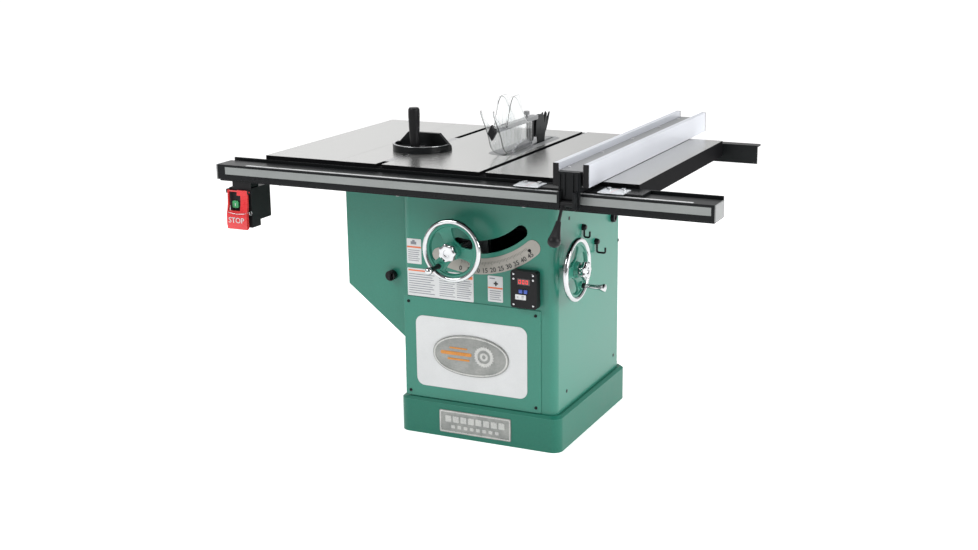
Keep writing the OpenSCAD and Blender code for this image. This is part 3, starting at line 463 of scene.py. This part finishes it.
def handwheel(tag, node_name, body, place, spoke_angle):
    """Chrome rim, green dished spider with three rounded openings, and a turned hub."""
    lo, hi, mid = box_of(node_name)
    outer = max(hi.z - lo.z, hi.y - lo.y) / 2
    rim = [(outer - 0.0079 + 0.0077 * cos(a), 0.002 + 0.0077 * sin(a))
           for a in (2 * pi * i / 20 for i in range(21))]
    piece = add(tag + "_rim", lathe(tag + "_rim", rim, 96), CHROME, body, place)
    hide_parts(node_name)
    ring = [(outer - 0.0145, -0.004), (outer - 0.0155, 0.0035), (outer - 0.021, 0.0042),
            (outer - 0.0245, -0.001), (outer - 0.025, -0.006), (outer - 0.0145, -0.004)]
    add(tag + "_rim_seat", lathe(tag + "_rim_seat", ring, 96), GREEN, body, place)
    holes = [smooth_loop(wheel_opening(0.029, outer - 0.0225, spoke_angle + 60 + k * 120, 30, 43), 2)
             for k in range(3)]
    disc = arc(0, 0, outer - 0.017, 0, 360, 96)[:-1]
    web = plate(tag + "_spider", [disc] + holes, 0.0075, 0.0016, 3)
    for v in web.vertices:
        r = hypot(v.co.x, v.co.y)
        v.co.z += -0.0065 - 0.0035 * max(0.0, 1 - r / (outer - 0.02))
    add(tag + "_spider", web, GREEN, body, place)
    hub = [(0.0082, 0.0118), (0.0195, 0.0118), (0.0222, 0.0095), (0.0235, 0.002), (0.0275, -0.003),
           (0.0285, -0.0075), (0.0245, -0.011), (0.0235, -0.014), (0.0082, -0.014), (0.0082, 0.0118)]
    add(tag + "_hub", lathe(tag + "_hub", hub, 64), GREEN, body, place)
    seat_angle = spoke_angle + 120
    seat = [(0.0051, 0.0052), (0.0105, 0.0052), (0.0125, 0.003), (0.0135, -0.0045), (0.0051, -0.0045),
            (0.0051, 0.0052)]
    r = outer - 0.031
    spot = place @ Matrix.Translation((r * cos(radians(seat_angle)), r * sin(radians(seat_angle)), 0))
    add(tag + "_crank_boss", lathe(tag + "_crank_boss", seat, 32), GREEN, body, spot)
    return spot


def lock_knob(tag, node_name, body, place):
    """Seven-lobed plated knob with a domed top."""
    steps = 98
    rows = [(0.55, 0.0002), (0.6, 0.008), (0.94, 0.0085), (1.0, 0.0105), (1.0, 0.0195), (0.965, 0.0222),
            (0.88, 0.0236), (0.6, 0.024), (0.36, 0.0232), (0.33, 0.0205), (0.0, 0.0198)]
    bm = bmesh.new()
    rings = []
    for share, h in rows:
        ring = []
        lobed = max(0.0, min(1.0, (share - 0.55) / 0.4))
        for i in range(steps):
            a = 2 * pi * i / steps
            r = 0.0282 * share * (1 - lobed * 0.135 * (0.5 - 0.5 * cos(7 * a)) ** 0.8)
            ring.append(bm.verts.new((r * cos(a), r * sin(a), h)))
        rings.append(ring)
    for a, b in zip(rings, rings[1:]):
        for i in range(steps):
            j = (i + 1) % steps
            bm.faces.new((a[i], b[i], b[j], a[j]))
    bmesh.ops.remove_doubles(bm, verts=rings[-1], dist=1e-5)
    piece = add(tag + "_star", from_bmesh(tag + "_star", bm), CHROME, body, place, angle=50)
    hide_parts(node_name)


def crank_handle(tag, node_name, body, spot, length, long_taper):
    """Turned handle on a dark stud; its ball end is plated."""
    stud = [(0, 0.0), (0.0048, 0.0), (0.0048, 0.008), (0.0078, 0.0085), (0.0082, 0.0135), (0.0066, 0.0155),
            (0.0, 0.0155)]
    dark = add(tag + "_stud", lathe(tag + "_stud", stud, 32), BLACK, body, spot)
    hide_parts(node_name)
    if long_taper:
        grip = [(0, 0.0157), (0.0052, 0.0157), (0.0058, 0.02), (0.0064, 0.035), (0.0072, length - 0.03),
                (0.0088, length - 0.019), (0.011, length - 0.013), (0.0118, length - 0.008),
                (0.0105, length - 0.0035), (0.006, length - 0.0015), (0, length - 0.001)]
        add(tag + "_grip", lathe(tag + "_grip", grip, 40), CHROME, body, spot)
    else:
        neck = [(0, 0.0157), (0.0064, 0.0157), (0.0068, 0.03), (0.0074, length - 0.034),
                (0.0086, length - 0.026), (0.0086, length - 0.0225), (0, length - 0.0225)]
        add(tag + "_neck", lathe(tag + "_neck", neck, 40), BLACK, body, spot)
        ball = [(0, length - 0.0222)] + [(0.0115 * sin(a), length - 0.0122 - 0.0112 * cos(a))
                                         for a in (radians(28 + 152 * i / 12) for i in range(12))]
        ball.append((0, length - 0.0011))
        add(tag + "_ball", lathe(tag + "_ball", ball, 40), CHROME, body, spot)


height = Vector(JOINTS["height_wheel_turn"]["pos_m"])
bevel_axis = Vector(JOINTS["bevel_wheel_turn"]["pos_m"])
for tag, wheel, knob, crank, bodies, centre, turn, spoke, taper in (
        ("height_wheel", "height_handwheel", "height_lock_knob", "height_crank",
         ("height_wheel", "height_lock", "height_crank_handle"), height, FRONT, 110, False),
        ("bevel_wheel", "tilt_handwheel", "tilt_lock_knob", "tilt_crank",
         ("bevel_wheel", "bevel_lock", "bevel_crank_handle"), bevel_axis, SIDE, 180, True)):
    place = at(*centre, turn)
    spot = handwheel(tag, wheel, bodies[0], place, spoke)
    lock_knob(tag + "_lock", knob, bodies[1], place @ Matrix.Translation((0, 0, 0.0125)))
    lo, hi, mid = box_of(crank)
    length = max(hi.x - lo.x, hi.y - lo.y)
    crank_handle(tag + "_crank", crank, bodies[2], spot @ Matrix.Translation((0, 0, -0.0015)), length, taper)

# ---------------------------------------------------------------- screws
def screw_mesh(name, r, h, kind="socket"):
    """A small fastener: button head with a hex socket, or a pan head with a cross."""
    rim = [(0, 0), (r, 0), (r, h * 0.35), (r * 0.9, h * 0.75), (r * 0.66, h * 0.97)]
    if kind == "socket":
        rim += [(r * 0.5, h), (r * 0.5, h * 0.45), (0, h * 0.4)]
    else:
        rim += [(r * 0.3, h), (r * 0.22, h * 0.5), (0, h * 0.45)]
    return lathe(name, rim, 24)


def screws(name, spots, r, h, look, body, turn, kind="socket"):
    parts = [(screw_mesh(name, r, h, kind), at(*s, turn)) for s in spots]
    return add(name, merge(name, parts), look, body)


cover_lo, cover_hi, cover_mid = box_of("access_cover")
panel_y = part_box("front_panel")[0].y
read_lo, read_hi, read_mid = box_of("readout_housing")
inset = 0.016
cover_spots = [(x, cover_lo.y, z) for x in (cover_lo.x + inset, cover_hi.x - inset)
               for z in (cover_lo.z + inset, cover_hi.z - inset)]
done = screws("cover_screws", cover_spots, 0.0048, 0.003, BLACK, "cabinet", FRONT)
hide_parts("panel_screws")
read_spots = [(read_lo.x + 0.011, read_lo.y, z) for z in (read_hi.z - 0.01, read_hi.z - 0.024,
                                                          read_lo.z + 0.011)]
read_spots += [(read_hi.x - 0.011, y, z) for x, y, z in read_spots]
screws("readout_screws", read_spots, 0.0034, 0.0018, CHROME, "cabinet", FRONT, "cross")

# ---------------------------------------------------------------- hooks and bumper on the right side
side_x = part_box("base_plinth")[1].x - 0.017


def bent(points, r, n=5):
    """Points of a rod with its inner corners rounded to radius r."""
    out = [Vector(points[0])]
    for a, b, c in zip(points, points[1:], points[2:]):
        a, b, c = Vector(a), Vector(b), Vector(c)
        p, q = b + (a - b).normalized() * r, b + (c - b).normalized() * r
        out += [p.lerp(b, t).lerp(b.lerp(q, t), t) for t in (i / n for i in range(n + 1))]
    out.append(Vector(points[-1]))
    return out


def hook(y, top, foot, out, tip):
    """A rod down from its knob, out from the wall and up again at the tip."""
    stem = side_x + 0.006
    path = [(stem, y, top), (stem, y, foot), (side_x + out, y, foot), (side_x + out, y, tip)]
    return tube("h", bent(path, 0.006), 0.003), UP


knob_profile = [(0, 0), (0.0095, 0), (0.0098, 0.004), (0.0088, 0.010), (0.006, 0.0132), (0, 0.014)]
hooks = [hook(-0.062, 0.638, 0.612, 0.024, 0.63), hook(0.044, 0.571, 0.541, 0.033, 0.558)]
hook_knobs = ((-0.062, 0.642), (0.044, 0.575))
hooks += [(lathe("h", knob_profile, 32), at(side_x, y, z, SIDE)) for y, z in hook_knobs]
hooks.append((lathe("h", [(0.0062, 0.0), (0.016, 0.0), (0.0165, 0.005), (0.0155, 0.0105), (0.0135, 0.012),
                          (0.0095, 0.012), (0.0075, 0.0095), (0.0062, 0.003), (0.0062, 0.0)], 40),
              at(side_x, 0.188, 0.622, SIDE)))
piece = add("hooks_and_bumper", merge("hooks_and_bumper", hooks), BLACK, "cabinet")
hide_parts("storage_hooks")
bumper_profile = [(0, 0), (0.006, 0), (0.006, 0.005), (0.004, 0.0075), (0, 0.008)]
add("bumper_screw", lathe("bumper_screw", bumper_profile, 32),
    CHROME, "cabinet", at(side_x, 0.188, 0.622, SIDE))
plug_profile = [(0, 0), (0.0055, 0), (0.0052, 0.0008), (0.003, 0.0012), (0, 0.0006)]
plugs = [(lathe("p", plug_profile, 24), at(side_x, y, z, SIDE))
         for y, z in ((-0.165, 0.69), (0.244, 0.535), (0.209, 0.16), (-0.182, 0.164))]
add("side_plugs", merge("side_plugs", plugs), PLASTIC, "cabinet")

# ---------------------------------------------------------------- bevel scale
tilt = Vector(JOINTS["blade_tilt"]["pos_m"])
scale_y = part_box("bevel_scale")[0].y
start_angle = degrees(atan2(tilt.x - height.x, tilt.z - height.z))


def on_scale(r, value):
    """Place on the scale face at radius r, for a bevel of value degrees, upright along the arc."""
    a = radians(value - start_angle)
    return at(tilt.x + r * sin(a), scale_y, tilt.z - r * cos(a), FRONT) @ Matrix.Rotation(a, 4, "Z")


marks = []
for value in range(0, 46):
    size = 0.012 if value % 5 == 0 else 0.007
    tick = bars("tick", [(-0.0004, 0.0004, 0, size, 0)], 0.0003)
    marks.append((tick, on_scale(0.293 if value % 5 == 0 else 0.288, value)))
add("bevel_ticks", merge("bevel_ticks", marks), BLACK_INK, "cabinet", smooth=False)
numbers = [(letters("number", str(value), 0.0195, bold=0.0004), on_scale(0.307, value))
           for value in range(0, 50, 5)]
add("bevel_numbers", merge("bevel_numbers", numbers), BLACK_INK, "cabinet", smooth=False)
rivets = [on_scale(0.294, -18.5 + start_angle), on_scale(0.294, 38.5 + start_angle)]
add("scale_screws", merge("scale_screws", [(screw_mesh("s", 0.005, 0.0022, "cross"), m) for m in rivets]),
    BLACK, "cabinet")

# ---------------------------------------------------------------- readout
screen_lo, screen_hi, screen_mid = box_of("readout_display")


def digit(x, y, w, h, lit):
    """Seven-segment figure as bars; lit names its segments."""
    t = w * 0.2
    seg = {"a": (0, w, h - t, h), "g": (0, w, h / 2 - t / 2, h / 2 + t / 2), "d": (0, w, 0, t),
           "f": (0, t, h / 2, h), "b": (w - t, w, h / 2, h), "e": (0, t, 0, h / 2), "c": (w - t, w, 0, h / 2)}
    return [(x + seg[k][0], x + seg[k][1], y + seg[k][2], y + seg[k][3], 0) for k in lit]


figures = []
for i, lit in enumerate(("abcdef", "abcdef", "abcdef")):
    figures += digit(-0.0155 + i * 0.0112, -0.0055, 0.0068, 0.011, lit)
figures.append((0.0048, 0.0062, -0.0055, -0.0041, 0))
add("readout_figures", bars("readout_figures", figures, 0.0002), LIT, "cabinet",
    at(screen_mid.x, screen_lo.y, screen_mid.z, FRONT), smooth=False)
patch = plate("readout_patch", [rounded(0.034, 0.015, 0.0015)], 0.0004)
add("readout_patch", patch, WHITE, "cabinet", at(read_mid.x - 0.009, read_lo.y, 0.4725, FRONT))
marks = [(-0.012, -0.0115, -0.005, 0.0055, 0), (-0.008, -0.0075, -0.004, 0.0045, 0),
         (-0.012, -0.0075, -0.0007, 0.0008, 0), (0.003, 0.011, 0.003, 0.0045, 0), (0.003, 0.011, -0.001, 0.0002, 0),
         (0.003, 0.009, -0.005, -0.0038, 0)]
add("readout_patch_marks", bars("readout_patch_marks", marks, 0.0001), BLACK_INK, "cabinet",
    at(read_mid.x - 0.009, read_lo.y - 0.0004, 0.4725, FRONT), smooth=False)

# ---------------------------------------------------------------- labels on the front
def text_block(x0, x1, y0, y1, rows, look=0, ragged=(1.0, 0.92, 0.97, 0.85)):
    """Grey bars that read as lines of small print."""
    step = (y1 - y0) / rows
    return [(x0, x0 + (x1 - x0) * ragged[i % len(ragged)], y1 - (i + 0.62) * step, y1 - (i + 0.28) * step, look)
            for i in range(rows)]


label_y = panel_y - 0.0008
small = [(-0.237, -0.1875, 0.5805, 0.5855, 1)] + text_block(-0.231, -0.192, 0.538, 0.576, 6)
small += [(-0.222, -0.203, 0.591, 0.6, 0), (-0.217, -0.208, 0.6, 0.6045, 0)]
small = [(max(x0, -0.2345), min(x1, -0.1875), y0, y1, k) for x0, x1, y0, y1, k in small]
wide = [(-0.13, -0.017, 0.501, 0.51, 1), (-0.232, -0.14, 0.509, 0.5135, 1)]
wide += text_block(-0.231, -0.144, 0.438, 0.503, 9) + text_block(-0.128, -0.075, 0.438, 0.497, 9)
wide += text_block(-0.07, -0.02, 0.438, 0.497, 9, ragged=(0.9, 1.0, 0.95, 0.8))
tall = [(0.0335, 0.0805, 0.4815, 0.4865, 1)] + text_block(0.039, 0.076, 0.4455, 0.478, 5)
tall += [(0.038, 0.056, 0.511, 0.5145, 0), (0.052, 0.066, 0.495, 0.5, 2), (0.0565, 0.0615, 0.4905, 0.5045, 2)]
add("label_print", bars("label_print", small + wide + tall, 0.00012), [INK, ORANGE, BLACK_INK], "cabinet",
    at(0, label_y, 0, FRONT), smooth=False)

# ---------------------------------------------------------------- badge and plinth plate
plates_lo, plates_hi, _ = box_of("label_plates")
badge_y = cover_lo.y - 0.0044
badge_x, badge_z = cover_mid.x - 0.002, cover_hi.z - 0.166


def lens_outline(w, h, n=48):
    """Superellipse outline of the badge."""
    out = []
    for i in range(n):
        a = 2 * pi * i / n
        c, s = cos(a), sin(a)
        out.append((w / 2 * abs(c) ** 0.92 * (1 if c > 0 else -1), h / 2 * abs(s) ** 0.92 * (1 if s > 0 else -1)))
    return out


body_plate = plate("badge_plate", [lens_outline(0.252, 0.128)], 0.0032, 0.001, 3)
add("badge_plate", body_plate, BADGE, "cabinet", at(badge_x, cover_lo.y - 0.0012, badge_z, FRONT))
rim = plate("badge_rim", [lens_outline(0.246, 0.122), lens_outline(0.236, 0.113)], 0.0014, 0.0004)
add("badge_rim", rim, BADGE_EDGE, "cabinet", at(badge_x, badge_y + 0.0002, badge_z, FRONT))
teeth = []
for i in range(24):
    a = 2 * pi * i / 24
    teeth += [(0.034 * cos(a), 0.034 * sin(a)), (0.029 * cos(a + 0.13), 0.029 * sin(a + 0.13))]
motif = plate("badge_motif", [teeth, arc(0, 0, 0.021, 0, 360, 36)[:-1]], 0.0012, 0.0003)
hub_rings = [arc(0, 0, 0.013, 0, 360, 30)[:-1], arc(0, 0, 0.006, 0, 360, 20)[:-1]]
hub_disc = plate("badge_hub", hub_rings, 0.0012, 0.0003)
add("badge_motif", merge("badge_motif", [(motif, UP), (hub_disc, UP)]), BADGE_EDGE, "cabinet",
    at(badge_x + 0.045, badge_y + 0.0002, badge_z + 0.004, FRONT))
bar_a = plate("bar", [rounded(0.104, 0.011, 0.0052, cx=-0.048, cy=0.004)], 0.0012, 0.0003)
bar_b = plate("bar", [rounded(0.074, 0.006, 0.0028, cx=-0.04, cy=-0.014)], 0.0012, 0.0003)
bar_c = plate("bar", [rounded(0.06, 0.005, 0.0023, cx=-0.04, cy=0.021)], 0.0012, 0.0003)
add("badge_bars", merge("badge_bars", [(bar_a, UP), (bar_b, UP), (bar_c, UP)]), BRONZE, "cabinet",
    at(badge_x, badge_y + 0.0002, badge_z, FRONT))
plinth_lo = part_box("base_plinth")[0]
border = plate("plinth_border", [rounded(0.236, 0.068, 0.004), rounded(0.228, 0.06, 0.003)], 0.0012, 0.0003)
blocks = [(border, UP)]
for w, h, gap, count, y in ((0.02, 0.02, 0.0255, 8, 0.009), (0.0125, 0.0105, 0.021, 8, -0.0155)):
    for i in range(count):
        x = (i - (count - 1) / 2) * gap
        blocks.append((plate("b", [rounded(w, h, 0.002, 3)], 0.001, 0.0003), Matrix.Translation((x, y, 0))))
add("plinth_plate_relief", merge("plinth_plate_relief", blocks), BADGE_EDGE, "cabinet",
    at(-0.009, plinth_lo.y - 0.0013, 0.051, FRONT))

# ---------------------------------------------------------------- rails
tube_lo, tube_hi, tube_mid = box_of("front_rail_tube")
strip_lo, strip_hi, _ = box_of("rail_strips")
scale_ticks = []
x = -0.695
i = 0
while x < 0.695:
    size = 0.0065 if i % 10 == 0 else 0.0045 if i % 5 == 0 else 0.003
    scale_ticks.append((x, x + 0.0004, 0, size, 0))
    x += 0.00254 * 2
    i += 1
add("rail_scale_ticks", bars("rail_scale_ticks", scale_ticks, 0.0001), BLACK_INK, "cabinet",
    at(0, tube_lo.y + 0.0045, strip_hi.z), smooth=False)
inches = [(letters("n", str(abs(k)), 0.0055, 0.0001), at(0.02 + k * 0.0508, tube_lo.y + 0.0135, strip_hi.z))
          for k in range(-13, 14)]
add("rail_scale_numbers", merge("rail_scale_numbers", inches), BLACK_INK, "cabinet",
    smooth=False)

# ---------------------------------------------------------------- fence
face_lo, face_hi, face_mid = box_of("fence_faces")
beam_lo, beam_hi, beam_mid = box_of("fence_beam")
channel_z = face_lo.z + 0.044
spots = [(x, y, channel_z) for x in (face_lo.x + 0.026, face_hi.x - 0.026)
         for y in (face_lo.y + 0.05, face_lo.y + 0.3, face_lo.y + 0.55, face_lo.y + 0.8, face_hi.y - 0.05)]
screws("fence_face_screws", spots, 0.0045, 0.0025, STEEL, "rip_fence", UP)
ribs = [(beam_mid.x + dx, beam_mid.x + dx + 0.004, 0.815, 0.878, 0) for dx in (-0.028, -0.014, 0.010, 0.024)]
add("fence_head_ribs", bars("fence_head_ribs", ribs, 0.004), BLACK, "rip_fence",
    at(0, -0.441, 0, FRONT))
point_lo, point_hi, point_mid = box_of("fence_pointers")
hair = [(x, x + 0.0008, -0.412, -0.353, 0) for x in (point_lo.x + 0.0366, point_hi.x - 0.0374)]
add("pointer_hairlines", bars("pointer_hairlines", hair, 0.0002), RED, "rip_fence",
    at(0, 0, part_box("front_rail_tube")[1].z + 0.0104), smooth=False)

# ---------------------------------------------------------------- guard shields
def curve_through(a, b, c, d, n):
    return [(sum(w * q[0] for w, q in zip(ws, (a, b, c, d))), sum(w * q[1] for w, q in zip(ws, (a, b, c, d))))
            for ws in (((1 - t) ** 3, 3 * (1 - t) ** 2 * t, 3 * (1 - t) * t * t, t ** 3)
                       for t in (i / n for i in range(n + 1)))]


shield_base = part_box("left_shield")[0].z
front_edge = (curve_through((-30, 0), (-64, 4), (-88, 18.5), (-96, 36.5), 10)
              + curve_through((-106, 60.5), (-128, 100.5), (-152, 122.5), (-158, 144), 10))
crest = (curve_through((-84, 86.5), (-66, 86.5), (-50, 120.5), (-40, 171), 10)
         + curve_through((-38, 173), (-20, 177), (10, 173), (24, 150), 8)
         + curve_through((26, 146), (40, 130), (56, 110.5), (82, 87.5), 8))
ribs = [[(y, 3), (y - 4, 60), (y, top)] for y, top in ((-60, 84), (-34, 120), (-8, 160), (20, 140), (48, 108),
                                                        (76, 84), (98, 80), (119, 80))]
for side in ("left", "right"):
    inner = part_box(side + "_shield")[0].x + (0.0 if side == "right" else 0.0025)
    x = inner + (-0.0008 if side == "right" else 0.0008)
    edges = []
    for path, r in [(front_edge, 0.0011), (crest, 0.0011)] + [(rib, 0.0007) for rib in ribs]:
        points = [(x, y * MM, shield_base + z * MM) for y, z in path]
        edges.append((tube("rib", points, r, steps=3), UP))
    add(side + "_shield_ribs", merge(side + "_shield_ribs", edges), CLEAR, "guard_" + side)

# ---------------------------------------------------------------- mitre gauge
head_pos = Vector(JOINTS["mitre_angle"]["pos_m"])
mitre_lo, mitre_hi, _ = box_of("mitre_head")
reach = (mitre_hi.x - mitre_lo.x) / 2
band_top = mitre_lo.z + 0.02
band = arc(0, 0, reach - 0.0005, 184, 356, 60) + arc(0, 0, reach - 0.0075, 356, 184, 60)
add("mitre_protractor_band", plate("mitre_protractor_band", [band], 0.0016, 0.0004), CHROME,
    "mitre_protractor", at(head_pos.x, head_pos.y, band_top))
ticks = []
for value in range(-60, 61, 2):
    a = radians(-90 + value)
    size = 0.006 if value % 10 == 0 else 0.0035
    tick = bars("tick", [(reach - 0.0072, reach - 0.0072 + size, -0.0002, 0.0002, 0)], 0.0001)
    ticks.append((tick, at(head_pos.x, head_pos.y, band_top + 0.0016) @ Matrix.Rotation(a, 4, "Z")))
add("mitre_ticks", merge("mitre_ticks", ticks), BLACK_INK, "mitre_protractor", smooth=False)
pointer_outline = [(-0.007, -0.0135), (0.007, -0.0135), (0.005, 0.008), (0, 0.0128), (-0.005, 0.008)]
pointer = plate("mitre_pointer", [pointer_outline],
                0.0016, 0.0003)
add("mitre_pointer", pointer, CLEAR, "mitre_slide",
    at(head_pos.x, head_pos.y - reach - 0.0145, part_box("mitre_bar")[1].z - 0.0105))

# ---------------------------------------------------------------- switch
box_lo, box_hi, _ = box_of("switch_box")
pad_lo, pad_hi, pad_mid = box_of("stop_paddle")
stop = letters("stop_lettering", "STOP", 0.0235, 0.0008)
add("stop_lettering", stop, WHITE, "power_off_paddle",
    at(pad_mid.x - 0.001, pad_lo.y + 0.0003, pad_lo.z + 0.0275, FRONT), smooth=False)
wire_z = pad_lo.z + 0.052
wire = [(pad_lo.x + 0.001, pad_lo.y + 0.012, wire_z + 0.004), (pad_lo.x + 0.012, pad_lo.y - 0.0004, wire_z - 0.001),
        (pad_mid.x, pad_lo.y - 0.0012, wire_z - 0.004), (pad_hi.x - 0.012, pad_lo.y - 0.0004, wire_z - 0.002),
        (pad_hi.x - 0.001, pad_lo.y + 0.01, wire_z + 0.002)]
ring = [(pad_hi.x + 0.0055, pad_lo.y + 0.01 + b, wire_z + a)
        for a, b in arc(0, 0, 0.0058, 0, 360, 28)[:-1]]
lockout = [(tube("w", bent(wire, 0.004), 0.0009), UP), (tube("r", ring, 0.0009, cyclic=True), UP)]
add("lockout_wire", merge("lockout_wire", lockout), CHROME, "power_off_paddle")
button_lo, button_hi, button_mid = box_of("start_button")
cap = plate("start_cap", [rounded(0.0225, 0.0225, 0.005, 6)], 0.0085, 0.0018, 4)
piece = add("start_cap", cap, GREEN_CAP, "power_on_button",
            at(button_mid.x, button_hi.y - 0.0015, button_mid.z, FRONT))
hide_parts("start_button")
mark = bars("start_mark", [(-0.0012, 0.0012, -0.0045, 0.0045, 0)], 0.0003)
add("start_mark", mark, WHITE, "power_on_button",
    at(button_mid.x, button_hi.y - 0.01, button_mid.z, FRONT))

# ---------------------------------------------------------------- stage, lights, camera
bm = bmesh.new()
bmesh.ops.create_grid(bm, x_segments=1, y_segments=1, size=60)
ground = bpy.data.objects.new("studio_floor", from_bmesh("studio_floor", bm))
bpy.context.scene.collection.objects.link(ground)
ground.data.materials.append(FLOOR)
ground.location.z = -0.0006

world = bpy.data.worlds.new("studio")
bpy.context.scene.world = world
bpy.context.scene.view_settings.view_transform = "Standard"
world.use_nodes = True
sky = world.node_tree
heading = node(sky, "ShaderNodeSeparateXYZ", [(0, node(sky, "ShaderNodeTexCoord").outputs["Generated"])])
depth = node(sky, "ShaderNodeMapRange", [("Value", heading.outputs["Y"]), ("From Min", -0.5), ("From Max", 0.45),
                                         ("To Min", 0.42), ("To Max", 1.0)], interpolation_type="SMOOTHSTEP")
across = node(sky, "ShaderNodeMapRange", [("Value", heading.outputs["X"]), ("From Min", -0.52), ("From Max", -0.25),
                                          ("To Min", 1.0), ("To Max", 0.62)], interpolation_type="SMOOTHSTEP")
amount = node(sky, "ShaderNodeMath", [(0, depth.outputs[0]), (1, across.outputs[0])], operation="MULTIPLY")
sky.nodes["Background"].inputs["Color"].default_value = (1, 1, 1, 1)
sky.links.new(amount.outputs[0], sky.nodes["Background"].inputs["Strength"])


def softbox(name, spot, aim, size, watts):
    lamp = bpy.data.lights.new(name, "AREA")
    lamp.shape = "RECTANGLE"
    lamp.size, lamp.size_y = size
    lamp.energy = watts
    o = bpy.data.objects.new(name, lamp)
    bpy.context.scene.collection.objects.link(o)
    o.location = spot
    o.rotation_mode = "QUATERNION"
    o.rotation_quaternion = (Vector(aim) - Vector(spot)).to_track_quat("-Z", "Y")


softbox("key", (-2.2, -3.0, 3.2), (0, 0, 0.6), (2.4, 1.8), 90)
softbox("right_fill", (3.6, -0.6, 2.0), (0, 0, 0.5), (2.2, 2.2), 95)
softbox("top", (0.2, 0.6, 3.6), (0, 0, 0.8), (3.0, 2.4), 45)

# The camera stands where the photograph's view was fitted
AZIMUTH, ELEVATION, ROLL = 0.416529, 0.257846, -0.004366
back = Vector((sin(AZIMUTH) * cos(ELEVATION), -cos(AZIMUTH) * cos(ELEVATION), sin(ELEVATION)))
level = Vector((cos(AZIMUTH), sin(AZIMUTH), 0))
rise = back.cross(level)
right = cos(ROLL) * level + sin(ROLL) * rise
upward = -sin(ROLL) * level + cos(ROLL) * rise
camera = bpy.data.objects.new("camera", bpy.data.cameras.new("camera"))
bpy.context.scene.collection.objects.link(camera)
camera.rotation_mode = "QUATERNION"
camera.rotation_quaternion = Matrix((right, upward, back)).transposed().to_quaternion()
camera.location = (1.805225, -3.928729, 1.593186)
camera.data.lens = 52.69
camera.data.shift_x = -0.047
camera.data.clip_start, camera.data.clip_end = 0.1, 100
bpy.context.scene.camera = camera
